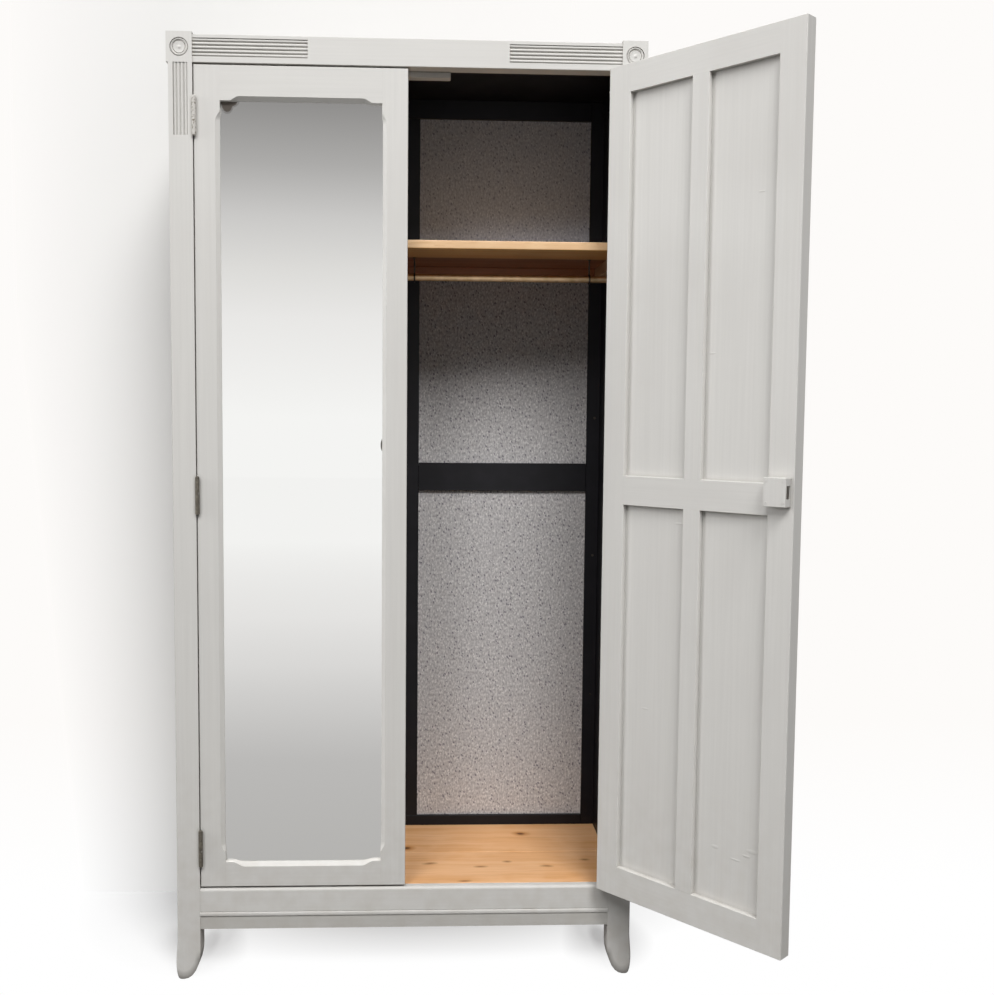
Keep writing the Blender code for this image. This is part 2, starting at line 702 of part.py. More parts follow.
def build_shelf():
    half = SIDE_PANEL_INNER - GAP
    back_edge = BACK_FACE - GAP
    z = (SHELF_UNDERSIDE, SHELF_LEVEL)
    board("shelf", (-half, half), (SHELF_FRONT, back_edge), z, PINE, arris=SHELF_ROUND, segments=2)
    cleat_top = SHELF_UNDERSIDE - GAP
    reach = half - CLEAT_THICKNESS
    for name, side in SIDES.items():
        x = (side * reach, side * half)
        y = (SHELF_FRONT + CLEAT_SETBACK, back_edge)
        board(f"shelf_cleat_{name}", x, y, (cleat_top - CLEAT_HEIGHT, cleat_top), PINE)
    y = (back_edge - CLEAT_THICKNESS, back_edge)
    span = reach - GAP
    board("shelf_cleat_back", (-span, span), y, (cleat_top - BACK_CLEAT_HEIGHT, cleat_top), PINE)


def build_hanging_rail():
    """A rod along X with a round flange on each end, fixed to the side panels."""
    radius = RAIL_DIAMETER / 2
    end = SIDE_PANEL_INNER - GAP
    shoulder = end - RAIL_FLANGE_THICKNESS
    upper = [(0, end), (RAIL_FLANGE_RADIUS, end), (RAIL_FLANGE_RADIUS, shoulder), (radius, shoulder)]
    lower = [(across, -along) for across, along in reversed(upper)]
    mesh = turned(upper + lower, ROUND_STEPS)
    mesh.transform(Matrix.Rotation(math.radians(90), 4, "Y"))
    place = (0, RAIL_FROM_FRONT, SHELF_UNDERSIDE - RAIL_DROP)
    add_part("hanging_rail", shade(mesh), BRASS, ROOT, place)


def build_door_stop():
    half = STOP_LENGTH / 2
    y = (DOOR_BACK + GAP, DOOR_BACK + GAP + STOP_DEPTH)
    z = (STOP_UNDERSIDE, CORNICE_UNDERSIDE - GAP)
    stop = board("door_stop", (-half, half), y, z, PAINT)
    x, y, z = top_bolt_ranges()
    hole_z = (STOP_UNDERSIDE - OVERSHOOT, CORNICE_UNDERSIDE + OVERSHOOT)
    hole = box_cutter("top_bolt_hole", grown(x, STOP_HOLE_GAP), grown(y, STOP_HOLE_GAP), hole_z)
    cut(stop, hole)


def mirror_opening(margin, step):
    """Outline, as (across, level) points, with an ear that steps in at each corner.

    The margin is how far the whole outline lies inside the opening in the door's face.
    """
    left = STILE_FRONT + margin
    right = HINGE_EDGE - MEETING_EDGE - STILE_FRONT - margin
    low = DOOR_BOTTOM + BOTTOM_RAIL_FRONT + margin
    high = DOOR_TOP - TOP_RAIL_FRONT - margin
    ogee = []
    for i in range(ARC_STEPS + 1):
        t = i / ARC_STEPS
        ogee.append((step * smooth_step(t), EAR + EAR_RUN + OGEE_LENGTH * (1 - t) - margin))
    ear = ogee + [(step, step)] + [(along, inward) for inward, along in reversed(ogee)]
    outline = [(left + a, high - b) for a, b in ear]
    outline += [(right - a, high - b) for a, b in reversed(ear)]
    outline += [(right - a, low + b) for a, b in ear]
    outline += [(left + a, low + b) for a, b in reversed(ear)]
    return outline


def opening_cutter(name, side, pivot):
    """What is cut out of the lip in front of the glass, with its sloped moulding."""
    face = mirror_opening(0, EAR)
    inner = mirror_opening(MOULD_WIDTH, GLASS_EAR)
    slope_end = DOOR_FACE + MOULD_DEPTH
    levels = [
        (face, DOOR_FACE - OVERSHOOT),
        (face, DOOR_FACE),
        (inner, slope_end),
        (inner, GLASS_FACE + OVERSHOOT),
    ]
    bm = bmesh.new()
    loops = []
    for outline, depth in levels:
        corners = [bm.verts.new((side * (HINGE_EDGE - a), depth, level)) for a, level in outline]
        loops.append([bm.edges.new(pair) for pair in zip(corners, corners[1:] + corners[:1])])
    for near, far in zip(loops, loops[1:]):
        bmesh.ops.bridge_loops(bm, edges=near + far)
    for end in (loops[0], loops[-1]):
        bmesh.ops.contextual_create(bm, geom=end)
    bmesh.ops.recalc_face_normals(bm, faces=bm.faces)
    bmesh.ops.triangulate(bm, faces=bm.faces)  # the moulding's faces are twisted
    mesh = bpy.data.meshes.new(name)
    bm.to_mesh(mesh)
    bm.free()
    return add_cutter(name, mesh, pivot)


def build_door(name, side):
    pivot = DOOR_PIVOTS[name]
    width = HINGE_EDGE - MEETING_EDGE

    def across(*distances):
        """Places across the door, measured from its hinge edge."""
        return [side * (HINGE_EDGE - distance) for distance in distances]

    y = (DOOR_FACE, DOOR_BACK)
    z = (DOOR_BOTTOM, DOOR_TOP)
    between = across(STILE_WIDTH + GAP, width - STILE_WIDTH - GAP)
    top_edge = DOOR_TOP - max(TOP_RAIL_FRONT + EAR, TOP_RAIL_BACK)
    bottom_edge = DOOR_BOTTOM + max(BOTTOM_RAIL_FRONT + EAR, BOTTOM_RAIL_BACK)
    frame = [
        board(f"{name}_door_hinge_stile", across(0, STILE_WIDTH), y, z, PAINT, pivot),
        board(f"{name}_door_meeting_stile", across(width - STILE_WIDTH, width), y, z, PAINT, pivot),
        board(f"{name}_door_top_rail", between, y, (top_edge, DOOR_TOP), PAINT, pivot),
        board(f"{name}_door_bottom_rail", between, y, (DOOR_BOTTOM, bottom_edge), PAINT, pivot),
    ]

    pocket_x = across(STILE_FRONT - POCKET_MARGIN, width - STILE_FRONT + POCKET_MARGIN)
    pocket_z = (
        DOOR_BOTTOM + BOTTOM_RAIL_FRONT - POCKET_MARGIN,
        DOOR_TOP - min(TOP_RAIL_FRONT, TOP_RAIL_BACK) + POCKET_MARGIN,
    )
    opening = opening_cutter(f"{name}_mirror_opening", side, pivot)
    pocket = box_cutter(f"{name}_mirror_pocket", pocket_x, (GLASS_FACE, POCKET_BACK), pocket_z, pivot)
    window_x = across(STILE_WIDTH - OVERSHOOT, width - STILE_WIDTH + OVERSHOOT)
    window_y = (POCKET_BACK - OVERSHOOT, DOOR_BACK + OVERSHOOT)
    window_z = (DOOR_BOTTOM + BOTTOM_RAIL_BACK, DOOR_TOP - TOP_RAIL_BACK)
    window = box_cutter(f"{name}_back_window", window_x, window_y, window_z, pivot)
    for piece in frame:
        cut(piece, opening, pocket)
    for rail in frame[2:]:
        cut(rail, window)
    for level_name, level in HINGE_LEVELS.items():
        cut(frame[0], hinge_mortise(f"{name}_door_{level_name}_mortise", side, level, True))

    sheet_x = grown(pocket_x, -GAP)
    sheet_z = grown(pocket_z, -GAP)
    glass_y = (GLASS_FACE + GAP, GLASS_FACE + GAP + GLASS_THICKNESS)
    backing_y = (BACKING_FACE, BACKING_FACE + BACKING_THICKNESS)
    board(f"{name}_door_mirror", sheet_x, glass_y, sheet_z, MIRROR, pivot, arris=ARRIS / 2)
    board(f"{name}_door_backing", sheet_x, backing_y, sheet_z, BOARD, pivot, arris=ARRIS / 2)

    layer = (POCKET_BACK, DOOR_BACK)
    lap = (POCKET_BACK + DOOR_BACK) / 2
    rail_z = (MID_RAIL_LEVEL - MID_RAIL_HEIGHT / 2, MID_RAIL_LEVEL + MID_RAIL_HEIGHT / 2)
    muntin_x = across((width - MUNTIN_WIDTH) / 2, (width + MUNTIN_WIDTH) / 2)
    muntin_z = grown(window_z, -GAP)
    rail = board(f"{name}_door_mid_rail", between, layer, rail_z, PAINT, pivot)
    muntin = board(f"{name}_door_muntin", muntin_x, layer, muntin_z, PAINT, pivot)
    beneath = (POCKET_BACK - OVERSHOOT, lap + GAP / 2)
    above = (lap - GAP / 2, DOOR_BACK + OVERSHOOT)
    cut(rail, box_cutter(f"{name}_rail_lap", grown(muntin_x), beneath, grown(rail_z, OVERSHOOT), pivot))
    cut(muntin, box_cutter(f"{name}_muntin_lap", grown(muntin_x, OVERSHOOT), above, grown(rail_z), pivot))


def knuckle_profile(dome_on_top):
    """Half section of a hinge knuckle, from the joint face to its domed end."""
    half = HINGE_HEIGHT / 2
    dome = quarter((0, half), (KNUCKLE_RADIUS, KNUCKLE_DOME), 0, 3)
    if dome_on_top:
        outer = list(reversed(dome)) + [(KNUCKLE_RADIUS, GAP), (BORE_RADIUS, GAP)]
        return outer + [(BORE_RADIUS, half - GAP), (0, half - GAP)]
    pin_top = half - 3 * GAP
    pin = [(0, pin_top), (PIN_RADIUS - GAP, pin_top), (PIN_RADIUS, pin_top - GAP * 2), (PIN_RADIUS, -GAP)]
    return pin + [(KNUCKLE_RADIUS, -GAP)] + [(radius, -level) for radius, level in dome]


def hinge_leaf(face, side, tab_start, tab_above):
    """Plate of one hinge half; a tab joins its upper or lower half to the knuckle."""
    half = HINGE_HEIGHT / 2
    clear = KNUCKLE_RADIUS + SLIDE_GAP
    reach = LEAF_DEPTH + PIN_PROUD
    up = 1 if tab_above else -1
    outline = [
        (clear, -up * half),
        (reach, -up * half),
        (reach, up * half),
        (tab_start, up * half),
        (tab_start, up * GAP),
        (clear, up * GAP),
    ]
    return prism(outline, "YZ", side * face[0], side * face[1])


def hinge_meshes(side):
    """Meshes of the two halves of a lift-off hinge, round the pin at the origin."""
    post_face = (PIN_INSET - LEAF_PROUD, PIN_INSET - LEAF_PROUD + LEAF_THICKNESS)
    door_edge = PIN_INSET - HINGE_GAP
    door_face = (door_edge + LEAF_PROUD, door_edge + LEAF_PROUD - LEAF_THICKNESS)
    wall_middle = (BORE_RADIUS + KNUCKLE_RADIUS) / 2
    lower = united(turned(knuckle_profile(False), KNUCKLE_STEPS), hinge_leaf(post_face, side, 0, False))
    upper = united(
        turned(knuckle_profile(True), KNUCKLE_STEPS), hinge_leaf(door_face, side, wall_middle, True)
    )
    return shade(lower), shade(upper)


def build_hinges(name, side):
    lower, upper = hinge_meshes(side)
    for level_name, level in HINGE_LEVELS.items():
        place = (side * PIN_X, PIN_Y, level)
        add_part(f"{name}_hinge_{level_name}_post_half", lower, IRON, ROOT, place)
        add_part(f"{name}_hinge_{level_name}_door_half", upper, IRON, DOOR_PIVOTS[name], place)


def lock_bolt_ranges():
    """The lock's bolt, drawn back into its case, with the right door shut."""
    end = MEETING_EDGE + LOCK_INSET + LOCK_BOLT_RECESS
    middle = DOOR_BACK + GAP + LOCK_DEPTH / 2
    x = (end, end + LOCK_BOLT_LENGTH)
    y = (middle - LOCK_BOLT_THICKNESS / 2, middle + LOCK_BOLT_THICKNESS / 2)
    z = (LOCK_LEVEL - LOCK_BOLT_HEIGHT / 2, LOCK_LEVEL + LOCK_BOLT_HEIGHT / 2)
    return x, y, z


def build_lock():
    right = DOOR_PIVOTS["right"]
    left = DOOR_PIVOTS["left"]
    bolt_x, bolt_y, bolt_z = lock_bolt_ranges()
    edge = MEETING_EDGE + LOCK_INSET
    y = (DOOR_BACK + GAP, DOOR_BACK + GAP + LOCK_DEPTH)
    z = (LOCK_LEVEL - LOCK_HEIGHT / 2, LOCK_LEVEL + LOCK_HEIGHT / 2)
    case = board(
        "lock_case", (edge, edge + LOCK_WIDTH), y, z, PAINT, right, arris=LOCK_ROUND, segments=2
    )
    slot_x = (edge - OVERSHOOT, bolt_x[1] + GAP)
    slot = box_cutter("lock_bolt_slot", slot_x, grown(bolt_y), grown(bolt_z), right)
    cut(case, slot)
    board("lock_bolt", bolt_x, bolt_y, bolt_z, STEEL, right)

    side = -MEETING_EDGE - KEEPER_INSET
    tip = bolt_x[0] - LOCK_BOLT_TRAVEL
    z = (LOCK_LEVEL - KEEPER_HEIGHT / 2, LOCK_LEVEL + KEEPER_HEIGHT / 2)
    keeper_x = (tip - OVERSHOOT - KEEPER_WALL, side)
    keeper = board("lock_keeper", keeper_x, y, z, STEEL, left, arris=LOCK_ROUND, segments=2)
    mouth_x = (tip - OVERSHOOT, side + OVERSHOOT)
    mouth = box_cutter("keeper_mouth", mouth_x, grown(bolt_y, SLIDE_GAP), grown(bolt_z, SLIDE_GAP), left)
    cut(keeper, mouth)


def top_bolt_ranges():
    """The left door's bolt, lowered, from its knob's level up to under the door stop."""
    middle = -MEETING_EDGE - STILE_WIDTH / 2
    depth = DOOR_BACK + GAP + TOP_BOLT_CASE_DEPTH / 2
    top = STOP_UNDERSIDE - TOP_BOLT_DROP
    below_case = TOP_BOLT_TRAVEL + 2 * TOP_BOLT_KNOB_RADIUS + 2 * TOP_BOLT_DROP
    x = (middle - TOP_BOLT_WIDTH / 2, middle + TOP_BOLT_WIDTH / 2)
    y = (depth - TOP_BOLT_THICKNESS / 2, depth + TOP_BOLT_THICKNESS / 2)
    z = (top - TOP_BOLT_NECK - TOP_BOLT_CASE_HEIGHT - below_case, top)
    return x, y, z


def build_top_bolt():
    pivot = DOOR_PIVOTS["left"]
    x, y, z = top_bolt_ranges()
    middle = sum(x) / 2
    case_x = (middle - TOP_BOLT_CASE_WIDTH / 2, middle + TOP_BOLT_CASE_WIDTH / 2)
    case_y = (DOOR_BACK + GAP, DOOR_BACK + GAP + TOP_BOLT_CASE_DEPTH)
    case_top = z[1] - TOP_BOLT_NECK
    case_z = (case_top - TOP_BOLT_CASE_HEIGHT, case_top)
    case = board("top_bolt_case", case_x, case_y, case_z, STEEL, pivot)
    channel = box_cutter("top_bolt_channel", grown(x), grown(y), grown(case_z, OVERSHOOT), pivot)
    cut(case, channel)

    size, centre = size_and_middle(x, y, z)
    bar = cube_mesh(size)
    knob = bpy.data.meshes.new("knob")
    bm = bmesh.new()
    length = TOP_BOLT_KNOB_LENGTH + TOP_BOLT_THICKNESS / 2
    reach = Matrix.Translation((0, length / 2, TOP_BOLT_KNOB_RADIUS + TOP_BOLT_DROP - size[2] / 2))
    bmesh.ops.create_cone(
        bm, cap_ends=True, segments=ROUND_STEPS, radius1=TOP_BOLT_KNOB_RADIUS,
        radius2=TOP_BOLT_KNOB_RADIUS, depth=length,
        matrix=reach @ Matrix.Rotation(math.radians(90), 4, "X"),
    )
    bm.to_mesh(knob)
    bm.free()
    add_part("top_bolt", shade(united(bar, knob)), STEEL, pivot, centre)


def stand_on_origin():
    """Move the whole armoire so that the bottom centre of its bounds is the origin."""
    graph = bpy.context.evaluated_depsgraph_get()
    corners = []
    for obj in PARTS.objects:
        if obj.type == "MESH":
            solid = obj.evaluated_get(graph)
            corners += [solid.matrix_world @ vert.co for vert in solid.data.vertices]
    lows = [min(corner[i] for corner in corners) for i in range(3)]
    highs = [max(corner[i] for corner in corners) for i in range(3)]
    ROOT.location = (-(lows[0] + highs[0]) / 2, -(lows[1] + highs[1]) / 2, -lows[2])


build_front_posts()
build_back_posts()
build_cornice()
build_base()
build_side_panels()
build_floor()
build_back()
build_shelf()
build_hanging_rail()
build_door_stop()
for door_name, door_side in SIDES.items():
    build_door(door_name, door_side)
    build_hinges(door_name, door_side)
build_lock()
build_top_bolt()
stand_on_origin()
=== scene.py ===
"""Finishes, small fittings, stage, light and camera for the mirrored armoire, around its CAD model."""

import json
import math

import bmesh
import bpy
from mathutils import Matrix, Vector


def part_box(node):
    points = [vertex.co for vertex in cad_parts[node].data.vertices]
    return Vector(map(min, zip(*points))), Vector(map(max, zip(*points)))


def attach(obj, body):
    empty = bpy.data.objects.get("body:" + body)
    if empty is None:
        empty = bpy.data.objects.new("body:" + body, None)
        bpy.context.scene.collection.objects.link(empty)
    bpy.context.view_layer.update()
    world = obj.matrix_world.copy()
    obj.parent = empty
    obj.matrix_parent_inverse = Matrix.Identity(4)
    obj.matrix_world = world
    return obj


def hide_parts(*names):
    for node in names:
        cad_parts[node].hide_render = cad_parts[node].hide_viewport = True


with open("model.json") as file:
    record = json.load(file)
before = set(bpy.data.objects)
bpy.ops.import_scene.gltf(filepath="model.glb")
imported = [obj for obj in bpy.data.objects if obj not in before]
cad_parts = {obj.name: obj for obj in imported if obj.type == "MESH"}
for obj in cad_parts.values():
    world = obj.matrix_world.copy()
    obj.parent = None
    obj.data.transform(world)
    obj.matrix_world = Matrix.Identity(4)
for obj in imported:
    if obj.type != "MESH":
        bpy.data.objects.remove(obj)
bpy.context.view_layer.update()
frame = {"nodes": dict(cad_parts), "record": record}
nodes = frame["nodes"]
bodies = frame["record"]["behaviour"]["bodies"]
body_of = {node: body for body, members in bodies.items() for node in members}

MM = 0.001
DEPTH = 0.400  # front face of the posts to the back of the back posts
OPEN_ANGLE = math.radians(132.0)  # how far the right door stands open
BLACK_FROM = 0.034  # where the black paint inside begins, behind the front
BLACK_TO = 0.376  # where it ends, within the thickness of the back frame
BARE_DEPTH = 0.007  # of the unpainted wood at the rear
GLASS_FACE = 0.0105  # where the mirrors' faces lie behind the front, with the doors shut
BACKING_REAR = 0.0205  # and about where the rear faces of their backing boards lie

# Places that the fittings and finishes are set out from, read off the CAD nodes.
CENTRE_X = (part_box("front_left_post")[0].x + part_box("front_right_post")[1].x) / 2
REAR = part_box("back_right_post")[1].y
FRONT = REAR - DEPTH
FLOOR_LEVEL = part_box("floor_board_front")[1].z
BEAD_BOTTOM = FLOOR_LEVEL - 0.0615  # of the bead along the base rail
SHELF_LOW, SHELF_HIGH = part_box("shelf")
RAIL_LOW, RAIL_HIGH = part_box("hanging_rail")
PIN = Vector((CENTRE_X + 0.4395, FRONT - 0.004, 0))  # axis of the right door's hinges
FOOT_CENTRE = (0.478, 0, 0.062)  # of the oval that each front foot is cut to, from the armoire's middle
FOOT_RADII = (0.035, 1, 0.062)
DOOR_SWING = Matrix.Translation(PIN) @ Matrix.Rotation(OPEN_ANGLE, 4, "Z") @ Matrix.Translation(-PIN)

# Ways a board's grain and brush marks run: the turn that takes a pattern's X axis there.
UPRIGHT = (0, math.radians(-90), 0)
ACROSS = (0, 0, 0)
DEEP = (0, 0, math.radians(90))
ALONG_OPEN_DOOR = (0, 0, OPEN_ANGLE)


def at(x, y, z):
    """A point given from the middle of the armoire's front, at floor height."""
    return Vector((CENTRE_X + x, FRONT + y, z))


def on_open_door(x, y, z):
    """A point of the right door, given where it is when the door is shut."""
    return DOOR_SWING @ at(x, y, z)


def linear(code):
    """An sRGB hex colour as the linear values that a shader takes."""
    parts = [int(code[i : i + 2], 16) / 255 for i in (1, 3, 5)]
    return tuple(c / 12.92 if c <= 0.04045 else ((c + 0.055) / 1.055) ** 2.4 for c in parts) + (1.0,)


def add(tree, kind, inputs=None, out=0, stops=(), **settings):
    """Adds a node and gives one of its outputs.

    Inputs are values or the sockets that feed them; stops are a ramp's places and colours.
    """
    node = tree.nodes.new("ShaderNode" + kind)
    for name, value in settings.items():
        setattr(node, name, value)
    for name, value in (inputs or {}).items():
        if isinstance(value, bpy.types.NodeSocket):
            tree.links.new(value, node.inputs[name])
        else:
            node.inputs[name].default_value = value
    for i, (place, code) in enumerate(stops):
        ramp = node.color_ramp.elements
        stop = ramp[i] if i < len(ramp) else ramp.new(1.0)
        stop.position = place
        stop.color = linear(code)
    return node.outputs[out] if node.outputs else None


def new_finish(name):
    """An empty material, its node tree and the Object coordinates that its patterns read."""
    material = bpy.data.materials.new(name)
    material.use_nodes = True
    tree = material.node_tree
    tree.nodes.clear()
    return material, tree, add(tree, "TexCoord", out="Object")


def coats(tree, colour, *layers):
    """Lays colours over a first one, each where its mask is 1."""
    for mask, over in layers:
        colour = add(tree, "Mix", {0: mask, 6: colour, 7: over}, out=2, data_type="RGBA")
    return colour


def streaks(tree, place, run, length, width, detail=3.0):
    """Noise drawn out along a board: length and width are the size of one mark in metres."""
    size = (length, width, width)
    laid = add(tree, "Mapping", {"Vector": place, "Rotation": run, "Scale": size}, vector_type="TEXTURE")
    return add(tree, "TexNoise", {"Vector": laid, "Scale": 1.0, "Detail": detail})


def spots(tree, place, ellipsoids, turn=ACROSS, soft=0.4):
    """1 inside any of several ellipsoids, given by centre and radii, falling to 0 at their surfaces."""
    mask = 0.0
    for centre, radii in ellipsoids:
        frame_of_spot = {"Vector": place, "Location": centre, "Rotation": turn, "Scale": radii}
        laid = add(tree, "Mapping", frame_of_spot, vector_type="TEXTURE")
        reach = add(tree, "VectorMath", {0: laid}, out="Value", operation="LENGTH")
        inside = add(tree, "MapRange", {"Value": reach, "From Min": 1.0, "From Max": soft})
        mask = add(tree, "Math", {0: mask, 1: inside}, operation="MAXIMUM")
    return mask


def inside_mask(tree, place):
    """1 on the faces that look into the cupboard, which are painted black."""
    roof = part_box("roof_panel")[0].z
    low = Vector((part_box("left_side_panel")[1].x - MM, FRONT + BLACK_FROM, FLOOR_LEVEL - MM))
    high = Vector((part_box("right_side_panel")[0].x + MM, FRONT + BLACK_TO, roof + MM))
    box = {"Vector": place, "Location": (low + high) / 2, "Scale": (high - low) / 2}
    laid = add(tree, "Mapping", box, vector_type="TEXTURE")
    outward = add(tree, "VectorMath", {0: laid}, operation="ABSOLUTE")
    furthest = 0.0
    for axis in "XYZ":
        along = add(tree, "SeparateXYZ", {0: outward}, out=axis)
        furthest = add(tree, "Math", {0: furthest, 1: along}, operation="MAXIMUM")
    return add(tree, "Math", {0: furthest, 1: 1.0}, operation="LESS_THAN")


def edge_mask(tree, reach):
    """1 along arrises, where hands and dusters rub: the rounded normal leaves the flat one there."""
    rounded = add(tree, "Bevel", {"Radius": reach}, samples=4)
    flat = add(tree, "NewGeometry", out="Normal")
    along = add(tree, "VectorMath", {0: rounded, 1: flat}, out="Value", operation="DOT_PRODUCT")
    return add(tree, "MapRange", {"Value": along, "From Min": 0.995, "From Max": 0.90})


# Eggshell paint brushed on wood: nearly flat, a dull sheen, faint brush marks along the board, grey dust and
# painted shade in the quirks and reeds, painted shade on the strip under the base rail's bead, a little
# rubbed at the arrises, and warmer and darker in patches towards the floor. Real brush marks are 0.5 mm wide;
# they are drawn 5 mm wide so that they show. The carcass is black inside, its rearmost faces are bare wood,
# and its front feet are darkened along their curve as painted shade.
def eggshell(name, run, carcass=False, feet=False, dust_and_shade_depth=0.22, shaded_below=None, dents=()):
    material, tree, place = new_finish(name)
    dust_and_shade_grey = linear("#8B877F")
    brush = streaks(tree, place, run, 0.28, 5 * MM)
    cloud = add(tree, "TexNoise", {"Vector": place, "Scale": 1 / 0.22, "Detail": 3.0})
    scuff = add(tree, "TexNoise", {"Vector": place, "Scale": 1 / 0.03, "Detail": 5.0})
    height = add(tree, "SeparateXYZ", {0: place}, out="Z")
    fresh = add(tree, "ValToRGB", {0: brush}, stops=[(0.3, "#D1CFCB"), (0.7, "#D5D3CF")])
    uneven = add(tree, "MapRange", {"Value": cloud, "From Min": 0.45, "From Max": 0.75, "To Max": 0.4})
    # Warmer and darker in patches, more of them towards the floor.
    patchiness = add(tree, "MapRange", {"Value": scuff, "From Min": 0.35, "From Max": 0.70})
    near_floor = add(tree, "MapRange", {"Value": height, "From Min": 0.55, "From Max": 0.05, "To Max": 0.3})
    warmer_low_patches = add(tree, "Math", {0: near_floor, 1: patchiness}, operation="MULTIPLY")
    bare_spots = add(tree, "MapRange", {"Value": scuff, "From Min": 0.50, "From Max": 0.64, "To Max": 0.3})
    rubbed = add(tree, "Math", {0: edge_mask(tree, 2.0 * MM), 1: bare_spots}, operation="MULTIPLY")
    # Grey dust and painted shade in quirks, reeds and corners, wherever ambient occlusion finds a recess.
    open_sky = add(tree, "AmbientOcclusion", {"Distance": 8 * MM}, out="AO", samples=6)
    dust_and_shade = add(tree, "MapRange", {"Value": open_sky, "From Min": 0.97, "From Max": 0.72, "To Max": dust_and_shade_depth})
    colour = coats(
        tree,
        fresh,
        (uneven, linear("#CDCAC6")),
        (warmer_low_patches, linear("#B4ACA0")),
        (rubbed, linear("#B9B1A5")),
        (dust_and_shade, dust_and_shade_grey),
    )
    # Painted shade on the strip below a given height, under the base rail's bead.
    if shaded_below:
        edge = {"From Min": shaded_below + MM, "From Max": shaded_below - MM, "To Max": 0.32}
        below = add(tree, "MapRange", {"Value": height, **edge})
        colour = coats(tree, colour, (below, dust_and_shade_grey))
    # Painted shade along the lower curve of the front feet.
    if feet:
        across = add(tree, "SeparateXYZ", {0: place}, out="X")
        aside = add(tree, "Math", {0: across, 1: CENTRE_X}, operation="SUBTRACT")
        outward = add(tree, "Math", {0: aside}, operation="ABSOLUTE")
        half = add(tree, "CombineXYZ", {"X": outward, "Z": height})
        curve = {"Vector": half, "Location": FOOT_CENTRE, "Scale": FOOT_RADII}
        laid = add(tree, "Mapping", curve, vector_type="TEXTURE")
        reach = add(tree, "VectorMath", {0: laid}, out="Value", operation="LENGTH")
        rim = add(tree, "MapRange", {"Value": reach, "From Min": 0.70, "From Max": 0.98, "To Max": 0.8})
        low = add(tree, "MapRange", {"Value": height, "From Min": FOOT_CENTRE[2], "From Max": 0.045})
        foot_shade = add(tree, "Math", {0: rim, 1: low}, operation="MULTIPLY")
        colour = coats(tree, colour, (foot_shade, linear("#77746F")))
    if carcass:
        dust = add(tree, "TexNoise", {"Vector": place, "Scale": 1 / 0.05, "Detail": 6.0})
        black = add(tree, "ValToRGB", {0: dust}, stops=[(0.45, "#0E0D12"), (0.80, "#18171C")])
        grain = streaks(tree, place, run, 0.30, 4 * MM)
        bare = add(tree, "ValToRGB", {0: grain}, stops=[(0.35, "#BC9A6E"), (0.65, "#A27E54")])
        back = add(tree, "SeparateXYZ", {0: place}, out="Y")
        rear = add(tree, "Math", {0: back, 1: REAR - BARE_DEPTH}, operation="GREATER_THAN")
        colour = coats(tree, colour, (inside_mask(tree, place), black), (rear, bare))
    ridges = add(tree, "Math", {0: brush, 1: 0.04 * MM}, operation="MULTIPLY")
    if dents:
        pressed = spots(tree, place, dents, ALONG_OPEN_DOOR)
        ridges = add(tree, "Math", {0: pressed, 1: 1.4 * MM, 2: ridges}, operation="MULTIPLY_ADD")
    relief = add(tree, "Bump", {"Height": ridges, "Strength": 0.35, "Distance": 1.0})
    span = {"From Min": 0.3, "From Max": 0.7, "To Min": 0.42, "To Max": 0.58}
    sheen = add(tree, "MapRange", {"Value": cloud, **span})
    surface = {"Base Color": colour, "Roughness": sheen, "Normal": relief, "Specular IOR Level": 0.3}
    add(tree, "OutputMaterial", {"Surface": add(tree, "BsdfPrincipled", surface)})
    return material


